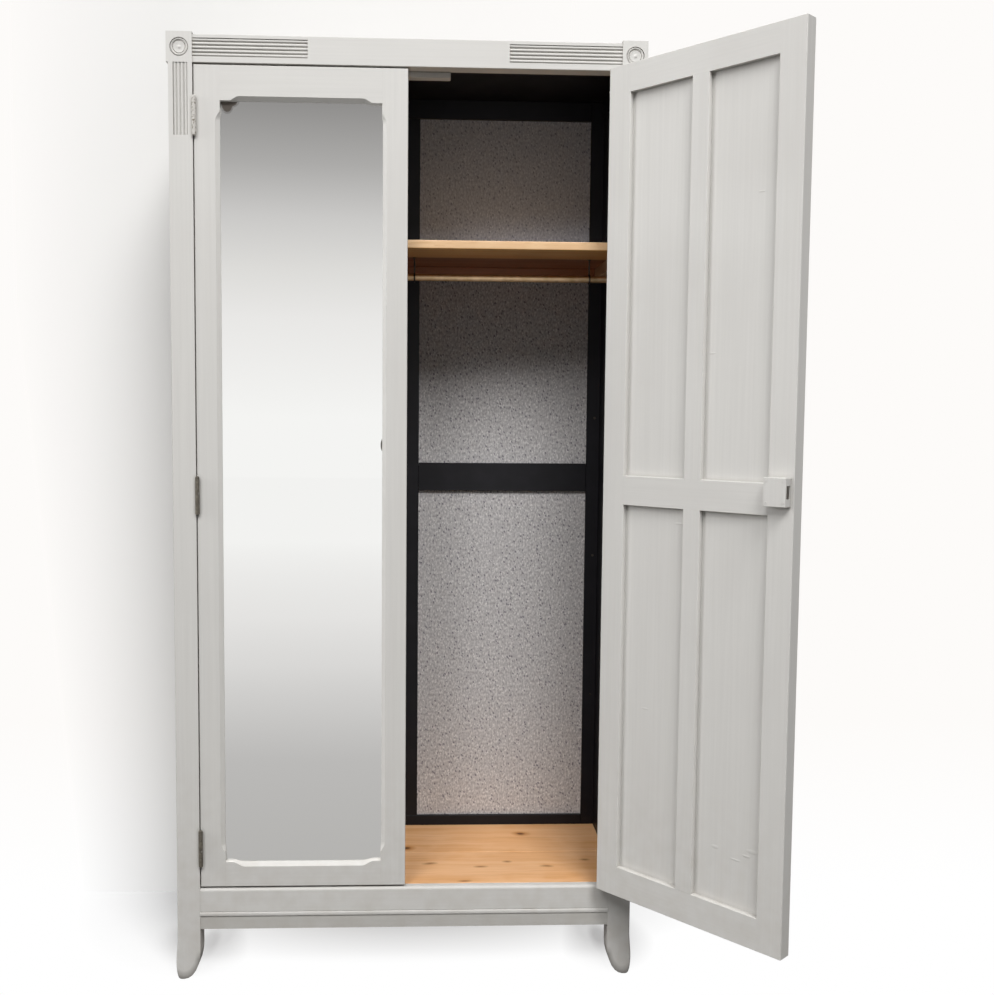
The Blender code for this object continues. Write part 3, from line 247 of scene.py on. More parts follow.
# Waxed pine: wavy grain lines a few millimetres apart over broad pale and brown figure, brown flecks, a
# few dark knots, and a soft wax gloss. The floor has gone honey brown. The shelf is paler; its underside is
# painted with light and shade, pale orange at the front where light reaches and dark brown further back.
def waxed_pine(name, run, pale, brown, line, knots=(), flecks=(), light_and_shade_underneath=False):
    material, tree, place = new_finish(name)
    sway = add(tree, "TexNoise", {"Vector": place, "Scale": 1 / 0.07, "Detail": 2.0}, out="Color")
    off_line = add(tree, "VectorMath", {0: sway, 1: (0.5, 0.5, 0.5)}, operation="SUBTRACT")
    bend = (20 * MM, 20 * MM, 0)
    bent = add(tree, "VectorMath", {0: off_line, 1: bend, 2: place}, operation="MULTIPLY_ADD")
    figure = streaks(tree, bent, run, 0.40, 26 * MM, 2.0)
    lines = streaks(tree, bent, run, 0.30, 5 * MM, 4.0)
    cloud = add(tree, "TexNoise", {"Vector": place, "Scale": 1 / 0.08, "Detail": 2.0})
    board = add(tree, "ValToRGB", {0: figure}, stops=[(0.35, pale), (0.65, brown)])
    blush = add(tree, "MapRange", {"Value": cloud, "From Min": 0.48, "From Max": 0.68, "To Max": 0.7})
    late_wood = add(tree, "MapRange", {"Value": lines, "From Min": 0.52, "From Max": 0.75, "To Max": 0.5})
    halos = [(centre, [2.2 * r for r in radii]) for centre, radii in knots]
    colour = coats(
        tree,
        board,
        (blush, linear(pale)),
        (late_wood, linear(line)),
        (spots(tree, bent, halos), linear(line)),
        (spots(tree, bent, flecks, soft=0.1), linear("#A9713C")),
        (spots(tree, bent, knots), linear("#6E4621")),
    )
    # Painted light and shade under the shelf: pale orange at the front, dark brown further back.
    if light_and_shade_underneath:
        height = add(tree, "SeparateXYZ", {0: place}, out="Z")
        deep = add(tree, "SeparateXYZ", {0: place}, out="Y")
        low = {"From Min": SHELF_LOW.z + 2 * MM, "From Max": SHELF_LOW.z + MM, "To Max": 0.85}
        span = {"From Min": SHELF_LOW.y, "From Max": SHELF_HIGH.y}
        underside_light_and_shade = add(
            tree,
            "ValToRGB",
            {0: add(tree, "MapRange", {"Value": deep, **span})},
            stops=[(0.0, "#F0B468"), (0.42, "#E2A257"), (0.47, "#8E4418"), (1.0, "#A05428")],
        )
        colour = coats(tree, colour, (add(tree, "MapRange", {"Value": height, **low}), underside_light_and_shade))
    relief = add(tree, "Bump", {"Height": lines, "Strength": 0.3, "Distance": 0.3 * MM})
    span = {"From Min": 0.3, "From Max": 0.7, "To Min": 0.38, "To Max": 0.52}
    gloss = add(tree, "MapRange", {"Value": figure, **span})
    surface = {"Base Color": colour, "Roughness": gloss, "Normal": relief, "IOR": 1.48}
    add(tree, "OutputMaterial", {"Surface": add(tree, "BsdfPrincipled", surface)})
    return material


# Cotton print pasted on the back panels: a small all-over sprig in greys, matt, with the weave's slight
# unevenness, and bluer above the shelf, a painted offset to the warm light that the pine shelf throws up
# there. The backs of the panels are bare wood.
def printed_lining():
    material, tree, place = new_finish("ditsy_print_cotton")
    flat = add(tree, "Mapping", {"Vector": place, "Scale": (1, 0, 1)})
    leaves = streaks(tree, flat, UPRIGHT, 7 * MM, 4 * MM, 3.0)
    colour = add(
        tree, "ValToRGB", {0: leaves}, stops=[(0.32, "#A4A0A1"), (0.50, "#C3C0C0"), (0.68, "#DEDBD9")]
    )
    for size, spread, code, turn in (
        (10 * MM, 0.20, "#E4E1DF", 0.15),
        (13 * MM, 0.17, "#817D84", -0.4),
    ):
        sprig = {"Vector": flat, "Rotation": (0, turn, 0), "Scale": (0.6 * size, 1, size)}
        laid = add(tree, "Mapping", sprig, vector_type="TEXTURE")
        reach = add(tree, "TexVoronoi", {"Vector": laid, "Scale": 1.0, "Randomness": 0.9})
        petal = add(tree, "MapRange", {"Value": reach, "From Min": spread + 0.10, "From Max": spread})
        colour = coats(tree, colour, (petal, linear(code)))
    # Painted offset to light: the print turns bluer above the shelf, against the shelf's warm bounced light.
    height = add(tree, "SeparateXYZ", {0: place}, out="Z")
    shelf_edge = {"From Min": SHELF_LOW.z, "From Max": SHELF_HIGH.z, "To Max": 0.25}
    cooled_against_bounce = add(tree, "MapRange", {"Value": height, **shelf_edge})
    colour = coats(tree, colour, (cooled_against_bounce, linear("#B2CEFF")))
    grain = streaks(tree, place, UPRIGHT, 0.30, 5 * MM)
    bare = add(tree, "ValToRGB", {0: grain}, stops=[(0.35, "#B9976B"), (0.65, "#9D7B52")])
    back = add(tree, "SeparateXYZ", {0: place}, out="Y")
    behind = add(tree, "Math", {0: back, 1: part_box("back_panel_lower")[0].y + MM}, operation="GREATER_THAN")
    colour = coats(tree, colour, (behind, bare))
    weave = add(tree, "TexNoise", {"Vector": place, "Scale": 1 / (1.5 * MM), "Detail": 2.0})
    relief = add(tree, "Bump", {"Height": weave, "Strength": 0.25, "Distance": 0.2 * MM})
    surface = {"Base Color": colour, "Roughness": 0.85, "Normal": relief, "Specular IOR Level": 0.25}
    add(tree, "OutputMaterial", {"Surface": add(tree, "BsdfPrincipled", surface)})
    return material


# Old silvered plate glass: a clear mirror with a very faint ripple, grey where the silvering has gone at
# the edges and in a spot beside the frame, and, in the shut door, dark in one corner as a painted reflection
# of shade.
def silvered_glass(name, centre, half, turn, losses_and_shade):
    material, tree, place = new_finish(name)
    plate = {"Vector": place, "Location": centre, "Rotation": turn}
    laid = add(tree, "Mapping", plate, vector_type="TEXTURE")
    outward = add(tree, "VectorMath", {0: laid}, operation="ABSOLUTE")
    flecks = add(tree, "TexNoise", {"Vector": place, "Scale": 1 / (6 * MM), "Detail": 4.0})
    fleck = add(tree, "MapRange", {"Value": flecks, "From Min": 0.60, "From Max": 0.75})
    # Where the silvering has gone, and, in the shut door, a painted reflection of shade in one corner.
    lost_and_shaded = spots(tree, place, losses_and_shade, turn, 0.7)
    for axis, reach in (("X", half.x), ("Z", half.z)):
        along = add(tree, "SeparateXYZ", {0: outward}, out=axis)
        margin = {"Value": along, "From Min": reach - 14 * MM, "From Max": reach - 9 * MM}
        foxed = add(tree, "Math", {0: add(tree, "MapRange", margin), 1: fleck}, operation="MULTIPLY")
        lost_and_shaded = add(tree, "Math", {0: lost_and_shaded, 1: foxed}, operation="MAXIMUM")
    colour = coats(tree, linear("#F4F5F4"), (lost_and_shaded, linear("#57524D")))
    ripple = add(tree, "TexNoise", {"Vector": place, "Scale": 1 / 0.35, "Detail": 1.0})
    relief = add(tree, "Bump", {"Height": ripple, "Strength": 0.1, "Distance": 0.4 * MM})
    dull = add(tree, "MapRange", {"Value": lost_and_shaded, "To Min": 0.015, "To Max": 0.35})
    surface = {"Base Color": colour, "Metallic": 1.0, "Roughness": dull, "Normal": relief}
    add(tree, "OutputMaterial", {"Surface": add(tree, "BsdfPrincipled", surface)})
    return material


# Cast iron hinge, still painted or not: brown rust film, grainy, with traces of paint in the low spots.
def hinge_iron(name, painted):
    material, tree, place = new_finish(name)
    grains = add(tree, "TexNoise", {"Vector": place, "Scale": 1 / (5 * MM), "Detail": 6.0})
    rust = add(tree, "ValToRGB", {0: grains}, stops=[(0.40, "#57524A"), (0.65, "#7A7468")])
    cover = add(tree, "MapRange", {"Value": grains, "From Min": painted, "From Max": painted - 0.08})
    colour = coats(tree, rust, (cover, linear("#C4C1BB")))
    relief = add(tree, "Bump", {"Height": grains, "Strength": 0.5, "Distance": 0.4 * MM})
    metal = add(tree, "MapRange", {"Value": cover, "To Min": 0.6, "To Max": 0.0})
    surface = {"Base Color": colour, "Metallic": metal, "Roughness": 0.58, "Normal": relief}
    add(tree, "OutputMaterial", {"Surface": add(tree, "BsdfPrincipled", surface)})
    return material


# Worn metal of the bolts, the rail and its eyes, the keyhole plate and the bare screws: drawn or filed along
# its length, with bright and tarnished patches, and duller in the scratches.
def worn_metal(name, run, bright, dull, roughness):
    material, tree, place = new_finish(name)
    marks = streaks(tree, place, run, 40 * MM, 0.8 * MM, 4.0)
    tarnish = add(tree, "TexNoise", {"Vector": place, "Scale": 1 / (25 * MM), "Detail": 5.0})
    colour = add(tree, "ValToRGB", {0: tarnish}, stops=[(0.40, bright), (0.65, dull)])
    relief = add(tree, "Bump", {"Height": marks, "Strength": 0.3, "Distance": 0.1 * MM})
    span = {"From Min": 0.3, "From Max": 0.7, "To Min": roughness - 0.08, "To Max": roughness + 0.1}
    scratched = add(tree, "MapRange", {"Value": marks, **span})
    surface = {"Base Color": colour, "Metallic": 1.0, "Roughness": scratched, "Normal": relief}
    add(tree, "OutputMaterial", {"Surface": add(tree, "BsdfPrincipled", surface)})
    return material


FLOOR_KNOTS = [
    (at(x, y, FLOOR_LEVEL), (a * MM, b * MM, 9 * MM))
    for x, y, a, b in ((0.280, 0.300, 12, 8), (-0.002, 0.215, 12, 9))
]
FLOOR_FLECKS = [
    (at(x, y, FLOOR_LEVEL), (a * MM, b * MM, 12 * MM))
    for x, y, a, b in (
        (0.055, 0.126, 22, 9),
        (0.168, 0.105, 19, 8),
        (0.232, 0.133, 14, 7),
        (0.319, 0.106, 20, 8),
        (0.410, 0.140, 15, 8),
        (0.130, 0.030, 20, 8),
        (-0.210, 0.270, 16, 9),
        (-0.330, 0.090, 19, 8),
        (-0.120, 0.150, 14, 7),
    )
]
SHELF_KNOTS = [
    (at(x, y, (SHELF_LOW.z + SHELF_HIGH.z) / 2), (a * MM, b * MM, 14 * MM))
    for x, y, a, b in ((-0.30, 0.16, 12, 8), (-0.05, 0.27, 14, 9), (0.16, 0.12, 11, 7), (0.34, 0.24, 13, 8))
]
PANEL_DENTS = [
    (on_open_door(x, BACKING_REAR, z), (a * MM, 20 * MM, b * MM))
    for x, z, a, b in (
        (0.189, 1.346, 9, 2.5),
        (0.074, 0.390, 14, 5),
        (0.086, 0.378, 9, 3),
        (0.156, 0.377, 9, 4),
        (0.110, 0.364, 13, 2.5),
        (0.252, 1.010, 16, 2.5),
        (0.225, 1.003, 18, 3),
        (0.090, 1.640, 8, 2),
        (0.330, 0.620, 10, 2.5),
    )
]
GLASS_LOW, GLASS_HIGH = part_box("left_door_mirror")
GLASS_CENTRE = (GLASS_LOW + GLASS_HIGH) / 2
GLASS_HALF = (GLASS_HIGH - GLASS_LOW) / 2
OPEN_GLASS_CENTRE = DOOR_SWING @ Vector((2 * CENTRE_X - GLASS_CENTRE.x, GLASS_CENTRE.y, GLASS_CENTRE.z))
# A spot beside the frame, and two that together fill a corner and taper downwards as a painted reflection
# of shade.
SHUT_GLASS_LOSS_AND_SHADE = [
    (at(x, GLASS_FACE, z), (a * MM, 20 * MM, b * MM))
    for x, z, a, b in ((-0.0525, 1.159, 5, 15), (-0.371, 1.863, 23, 13), (-0.374, 1.857, 14, 19))
]
OPEN_GLASS_LOSS = [(on_open_door(0.052, GLASS_FACE, 0.760), (5 * MM, 20 * MM, 12 * MM))]

front_posts = eggshell("eggshell_on_front_posts", UPRIGHT, carcass=True, feet=True, dust_and_shade_depth=0.4)
carcass_upright = eggshell("eggshell_on_uprights", UPRIGHT, carcass=True)
carcass_across = eggshell("eggshell_on_cross_rails", ACROSS, carcass=True)
cornice = eggshell("eggshell_on_cornice", ACROSS, carcass=True, dust_and_shade_depth=0.58)
base_rail = eggshell("eggshell_on_base_rail", ACROSS, carcass=True, dust_and_shade_depth=0.1, shaded_below=BEAD_BOTTOM)
carcass_deep = eggshell("eggshell_on_side_rails", DEEP, carcass=True)
door_upright = eggshell("eggshell_on_stiles", UPRIGHT)
door_across = eggshell("eggshell_on_shut_door_rails", ACROSS)
open_door_across = eggshell("eggshell_on_open_door_rails", ALONG_OPEN_DOOR)
door_panel = eggshell("eggshell_on_door_backing", UPRIGHT, dents=PANEL_DENTS)
floor_pine = waxed_pine(
    "waxed_pine_floor", ACROSS, "#F4C08E", "#E6AB72", "#CC8C50", FLOOR_KNOTS, FLOOR_FLECKS
)
shelf_pine = waxed_pine(
    "waxed_pine_shelf", ACROSS, "#F0CDA2", "#E3BB8E", "#C99C6A", SHELF_KNOTS, light_and_shade_underneath=True
)
cleat_pine = waxed_pine("waxed_pine_cleats", DEEP, "#DDB98F", "#D0A67A", "#B98C5C")
lining = printed_lining()
left_mirror = silvered_glass("silvered_glass_shut_door", GLASS_CENTRE, GLASS_HALF, ACROSS, SHUT_GLASS_LOSS_AND_SHADE)
right_mirror = silvered_glass(
    "silvered_glass_open_door", OPEN_GLASS_CENTRE, GLASS_HALF, ALONG_OPEN_DOOR, OPEN_GLASS_LOSS
)
painted_hinge = hinge_iron("cast_iron_hinge_painted", 0.62)
rusted_hinge = hinge_iron("cast_iron_hinge_rusted", 0.36)
brass_rail = worn_metal("dull_brass_rail", ACROSS, "#DCC09C", "#BFA47E", 0.46)
brass_plate = worn_metal("dull_brass_escutcheon", UPRIGHT, "#B89C6A", "#7A6340", 0.36)
bolt_steel = worn_metal("filed_steel_bolts", ALONG_OPEN_DOOR, "#7E7A74", "#4C4741", 0.40)
black_iron = worn_metal("blackened_iron_hooks_and_screws", ACROSS, "#5B554D", "#35312C", 0.48)

FINISHES = {
    front_posts: "front_left_post front_right_post",
    carcass_upright: "back_left_post back_right_post left_side_panel right_side_panel back_muntin",
    carcass_across: "roof_panel back_bottom_rail back_mid_rail back_top_rail",
    cornice: "cornice_front_rail",
    base_rail: "bottom_front_rail",
    carcass_deep: "left_top_rail right_top_rail left_bottom_rail right_bottom_rail",
    lining: "back_panel_lower back_panel_upper",
    floor_pine: "floor_board_front floor_board_back",
    shelf_pine: "shelf shelf_cleat_back",
    cleat_pine: "shelf_cleat_left shelf_cleat_right",
    brass_rail: "hanging_rail",
    door_upright: (
        "left_door_hinge_stile left_door_meeting_stile left_door_muntin left_door_backing lock_keeper "
        "right_door_hinge_stile right_door_meeting_stile right_door_muntin lock_case top_bolt_case"
    ),
    door_across: "left_door_top_rail left_door_bottom_rail left_door_mid_rail door_stop",
    open_door_across: "right_door_top_rail right_door_bottom_rail right_door_mid_rail",
    door_panel: "right_door_backing",
    left_mirror: "left_door_mirror",
    right_mirror: "right_door_mirror",
    painted_hinge: "left_hinge_top_post_half left_hinge_top_door_half",
    rusted_hinge: (
        "left_hinge_middle_post_half left_hinge_middle_door_half left_hinge_bottom_post_half "
        "left_hinge_bottom_door_half right_hinge_top_post_half right_hinge_top_door_half "
        "right_hinge_middle_post_half right_hinge_middle_door_half right_hinge_bottom_post_half "
        "right_hinge_bottom_door_half"
    ),
    bolt_steel: "lock_bolt top_bolt",
}

# Joints are filled with paint: each rail's and muntin's ends run on over its neighbours' broken edges.
ARRIS = 1.0 * MM
JOINT = 0.3 * MM  # gap that the CAD model leaves between two pieces
OVER_BOTH_ARRISES = 2 * ARRIS + JOINT + 0.1 * MM
OVER_ONE_ARRIS = ARRIS + JOINT + 0.1 * MM
FILLED = {
    "cornice_front_rail": (Vector((1, 0, 0)), OVER_ONE_ARRIS),
    "bottom_front_rail": (Vector((1, 0, 0)), 2 * JOINT),
}
for side, level in (("left", Vector((1, 0, 0))), ("right", DOOR_SWING.to_3x3() @ Vector((1, 0, 0)))):
    for rail in ("top_rail", "bottom_rail", "mid_rail"):
        FILLED[f"{side}_door_{rail}"] = (level, OVER_BOTH_ARRISES)
    FILLED[f"{side}_door_muntin"] = (Vector((0, 0, 1)), OVER_ONE_ARRIS)
STRIP_DEPTH = 9 * MM  # of the strip under the base's bead, behind the front in the CAD model
STRIP_FORWARD = 7.5 * MM  # which brings it nearly flush with the bead

# Nodes shown by a welded copy, because their joints are filled or because their turned, reeded and moulded
# faces shade as one smooth curve.
COPIED = [
    "front_left_post",
    "front_right_post",
    "shelf",
    "hanging_rail",
    "lock_case",
    "top_bolt",
    *FILLED,
    *[name for name in nodes if name.endswith(("_door_hinge_stile", "_door_meeting_stile"))],
    *[name for name in nodes if "_hinge_" in name and name.endswith("_half")],
]
SMOOTH_UP_TO = math.radians(32)
WELD = 0.01 * MM


def make_piece(name, shape, finish, body):
    """A finished piece from a bmesh, smooth but for its sharp edges, riding on a body."""
    mesh = bpy.data.meshes.new(name)
    shape.to_mesh(mesh)
    shape.free()
    unwelded = mesh.attributes.get("custom_normal")
    if unwelded:
        mesh.attributes.remove(unwelded)  # normals of the faces as they were before welding
    mesh.materials.append(finish)
    mesh.shade_smooth()
    mesh.set_sharp_from_angle(angle=SMOOTH_UP_TO)
    piece = bpy.data.objects.new(name, mesh)
    bpy.context.scene.collection.objects.link(piece)
    flats = piece.modifiers.new("flat_faces_stay_flat", "WEIGHTED_NORMAL")
    flats.keep_sharp = True
    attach(piece, body)
    return piece


def run_ends_on(shape, along, reach):
    """Lengthens a board at both ends."""
    places = [v.co.dot(along) for v in shape.verts]
    for end, sign in ((max(places), 1), (min(places), -1)):
        tip = [v for v in shape.verts if abs(v.co.dot(along) - end) < 2 * ARRIS]
        bmesh.ops.translate(shape, verts=tip, vec=sign * reach * along)


def fill_lap(shape, rail):
    """Runs a muntin's shoulders on over the arrises of the rail that crosses it."""
    for edge, sign in zip(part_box(rail), (1, -1)):
        shoulder = [v for v in shape.verts if abs(v.co.z - edge.z) < 2 * JOINT]
        bmesh.ops.translate(shape, verts=shoulder, vec=(0, 0, sign * OVER_ONE_ARRIS))


def bring_strip_forward(shape):
    """Moves the face of the strip under the base's bead out towards the bead."""
    strip = [v for v in shape.verts if v.co.z < BEAD_BOTTOM + JOINT]
    face = [v for v in strip if abs(v.co.y - FRONT - STRIP_DEPTH) < MM]
    bmesh.ops.translate(shape, verts=face, vec=(0, -STRIP_FORWARD, 0))


def dress_nodes():
    """Gives each CAD node its finish, or shows a finished copy in its place."""
    for finish, names in FINISHES.items():
        for name in names.split():
            if name not in COPIED:
                nodes[name].material_slots[0].material = finish
                continue
            shape = bmesh.new()
            shape.from_mesh(nodes[name].data)
            bmesh.ops.remove_doubles(shape, verts=shape.verts, dist=WELD)
            if name in FILLED:
                run_ends_on(shape, *FILLED[name])
            if name.endswith("_door_muntin"):
                fill_lap(shape, name.replace("muntin", "mid_rail"))
            if name == "bottom_front_rail":
                bring_strip_forward(shape)
            piece = make_piece(name + "_finished", shape, finish, body_of[name])
            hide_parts(name)


def facing(point, outward, turn=0.0):
    """Places a shape made on Z = 0 at a point, with its top looking along a direction."""
    upright = outward.to_track_quat("Z", "Y").to_matrix().to_4x4()
    return Matrix.Translation(point) @ upright @ Matrix.Rotation(turn, 4, "Z")


def add_screw(shape, place, radius, proud):
    """A slotted screw head: a low cone with a broken edge and a slot sunk across its top."""
    made = bmesh.ops.create_cone(
        shape, cap_ends=True, segments=20, radius1=radius, radius2=0.9 * radius, depth=2 * proud
    )["verts"]
    rim = [e for e in {e for v in made for e in v.link_edges} if all(v.co.z > 0 for v in e.verts)]
    bevelled = bmesh.ops.bevel(
        shape, geom=rim, offset=0.3 * proud, segments=2, profile=0.5, affect="EDGES", material=-1
    )
    faces = {f for v in made + bevelled["verts"] if v.is_valid for f in v.link_faces}
    cap = max(faces, key=lambda f: (f.calc_center_median().z, f.calc_area()))
    for side in (1, -1):
        cut = bmesh.ops.bisect_plane(
            shape,
            geom=[cap] + list(cap.edges) + list(cap.verts),
            plane_co=(0, side * 0.14 * radius, 0),
            plane_no=(0, side, 0),
        )
        halves = [f for f in cut["geom"] if isinstance(f, bmesh.types.BMFace)]
        cap = min(halves, key=lambda f: abs(f.calc_center_median().y))
    sunk = bmesh.ops.extrude_face_region(shape, geom=[cap])["geom"]
    floor = [v for v in sunk if isinstance(v, bmesh.types.BMVert)]
    bmesh.ops.delete(shape, geom=[cap], context="FACES_ONLY")
    bmesh.ops.translate(shape, verts=floor, vec=(0, 0, -0.7 * proud))
    whole = set()
    reach = set(floor)
    while reach:
        whole |= reach
        reach = {e.other_vert(v) for v in reach for e in v.link_edges} - whole
    bmesh.ops.transform(shape, matrix=place, verts=list(whole))


def screws(name, places, radius, proud, body, finish):
    """Slotted screw heads in one piece."""
    shape = bmesh.new()
    for place in places:
        add_screw(shape, place, radius, proud)
    bmesh.ops.recalc_face_normals(shape, faces=shape.faces)
    make_piece(name, shape, finish, body)


def fit_screws():
    """Painted-over screws in the fittings on the doors, and bare ones in the back frame.

    Their slots stand at odd angles, which follow from the screws' places.
    """
    into_cupboard = Vector((0, 1, 0))
    out_of_open_door = DOOR_SWING.to_3x3() @ into_cupboard
    lock_low, lock_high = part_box("lock_case")
    lock_back = 0.0518  # behind the armoire's front when the door is shut
    lock_columns = (0.0135, 0.0475)  # right of the armoire's middle then
    lock_inset = 7 * MM
    lock_levels = (lock_low.z + lock_inset, lock_high.z - lock_inset)
    screws(
        "lock_case_screws",
        [
            facing(on_open_door(x, lock_back, z), out_of_open_door, 7 * x * z)
            for x in lock_columns
            for z in lock_levels
        ],
        2.6 * MM,
        0.5 * MM,
        "right_door",
        door_upright,
    )
    bolt_low, bolt_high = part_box("top_bolt_case")
    bolt_columns = (bolt_low.x + 5 * MM, bolt_high.x - 5 * MM)
    bolt_levels = (bolt_low.z + 6 * MM, bolt_high.z - 6 * MM)
    screws(
        "bolt_case_screws",
        [
            facing(Vector((x, bolt_high.y, z)), into_cupboard, 90 * z)
            for x in bolt_columns
            for z in bolt_levels
        ],
        2.4 * MM,
        0.5 * MM,
        "left_door",
        door_upright,
    )
    frame_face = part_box("back_muntin")[0].y
    frame_column = 0.456  # either side of the armoire's middle
    frame_levels = (1.220, 0.881, 0.531)
    for side, sign in (("left", -1), ("right", 1)):
        places = [
            facing(Vector((CENTRE_X + sign * frame_column, frame_face, z)), -into_cupboard, 40 * z)
            for z in frame_levels
        ]
        screws("back_frame_screws_" + side, places, 3.2 * MM, 0.6 * MM, "carcass", black_iron)


def fit_rail_eyes():
    """Iron screw eyes under the shelf, which the hanging rail runs through."""
    middle = (RAIL_LOW + RAIL_HIGH) / 2
    rod_radius = 8 * MM
    wire = 1.9 * MM
    clearance = 0.2 * MM
    eye = rod_radius + wire + clearance
    flange = 2.2 * wire
    top = SHELF_LOW.z - middle.z
    for name, x in (("left", -0.411), ("middle", 0.013), ("right", 0.411)):
        shape = bmesh.new()
        section = Matrix.Translation((0, 0, eye)) @ Matrix.Rotation(math.radians(90), 4, "Y")
        bmesh.ops.create_circle(shape, segments=12, radius=wire, matrix=section)
        ring = shape.verts[:] + shape.edges[:]
        bmesh.ops.spin(shape, geom=ring, axis=(0, 1, 0), angle=math.tau, steps=32, use_merge=True)
        turned = Matrix.Rotation(math.radians(90), 4, "Z")
        bmesh.ops.transform(shape, matrix=turned, verts=shape.verts)
        for radius, low, high in ((wire, eye, top), (flange, top - 1.5 * MM, top - 0.1 * MM)):
            bmesh.ops.create_cone(
                shape,
                cap_ends=True,
                segments=16,
                radius1=radius,
                radius2=0.9 * radius,
                depth=high - low,
                matrix=Matrix.Translation((0, 0, (low + high) / 2)),
            )
        bmesh.ops.recalc_face_normals(shape, faces=shape.faces)
        place = Matrix.Translation((CENTRE_X + x, middle.y, middle.z))
        bmesh.ops.transform(shape, matrix=place, verts=shape.verts)
        make_piece("rail_eye_" + name, shape, black_iron, "carcass")


def add_oval_plate(shape, centre, half, low, high):
    """An oval plate lying between two heights, its upper edge rounded."""
    scale = Matrix.Diagonal((half[0], half[1], 1, 1))
    outline = Matrix.Translation((*centre, low)) @ scale
    made = bmesh.ops.create_circle(shape, cap_ends=True, segments=40, radius=1.0, matrix=outline)["verts"]
    lid = bmesh.ops.extrude_face_region(shape, geom=list({f for v in made for f in v.link_faces}))["geom"]
    raised = [v for v in lid if isinstance(v, bmesh.types.BMVert)]
    bmesh.ops.translate(shape, verts=raised, vec=(0, 0, high - low))
    rim = [e for e in lid if isinstance(e, bmesh.types.BMEdge)]
    soft = 0.6 * (high - low)
    bmesh.ops.bevel(shape, geom=rim, offset=soft, segments=3, profile=0.5, affect="EDGES", material=-1)


def fit_escutcheon():
    """Keyhole plate on the front of the right door, over the lock, with a drop cover on a pin."""
    lock_low, lock_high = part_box("lock_case")
    door_face = 0.0015  # behind the armoire's front when the door is shut
    keyhole = 0.030  # right of the armoire's middle then
    plate_top = 1.0 * MM
    cover_top = 2.4 * MM
    pin_top = 3.2 * MM
    shape = bmesh.new()
    add_oval_plate(shape, (0, 0), (10 * MM, 17 * MM), 0, plate_top)
    add_oval_plate(shape, (0, 1 * MM), (5.5 * MM, 12 * MM), plate_top, cover_top)
    add_oval_plate(shape, (0, 9 * MM), (2 * MM, 2 * MM), cover_top, pin_top)
    bmesh.ops.recalc_face_normals(shape, faces=shape.faces)
    outward = DOOR_SWING.to_3x3() @ Vector((0, -1, 0))
    level = Vector((0, 0, 1)).cross(outward)
    upright = Matrix((level, Vector((0, 0, 1)), outward)).transposed().to_4x4()
    spot = on_open_door(keyhole, door_face, (lock_low.z + lock_high.z) / 2)
    bmesh.ops.transform(shape, matrix=Matrix.Translation(spot) @ upright, verts=shape.verts)
    make_piece("escutcheon", shape, brass_plate, "right_door")


def build_stage():
    """Pale floor and a backdrop close behind, which the camera sees almost white with a soft shadow."""
    gap = 0.045  # between the armoire and the backdrop
    behind = Matrix.Translation((CENTRE_X, REAR + gap, 0)) @ Matrix.Rotation(math.radians(90), 4, "X")
    for name, size, place, finish in (
        ("floor", 40.0, Matrix.Identity(4), floor_finish()),
        ("backdrop", 14.0, behind, backdrop_finish()),
    ):
        shape = bmesh.new()
        bmesh.ops.create_grid(shape, x_segments=1, y_segments=1, size=size / 2, matrix=place)
        mesh = bpy.data.meshes.new(name)
        shape.to_mesh(mesh)
        shape.free()
        mesh.materials.append(finish)
        sheet = bpy.data.objects.new(name, mesh)
        bpy.context.scene.collection.objects.link(sheet)
        if name == "backdrop":
            for ray in ("diffuse", "glossy", "transmission", "shadow"):
                setattr(sheet, "visible_" + ray, False)


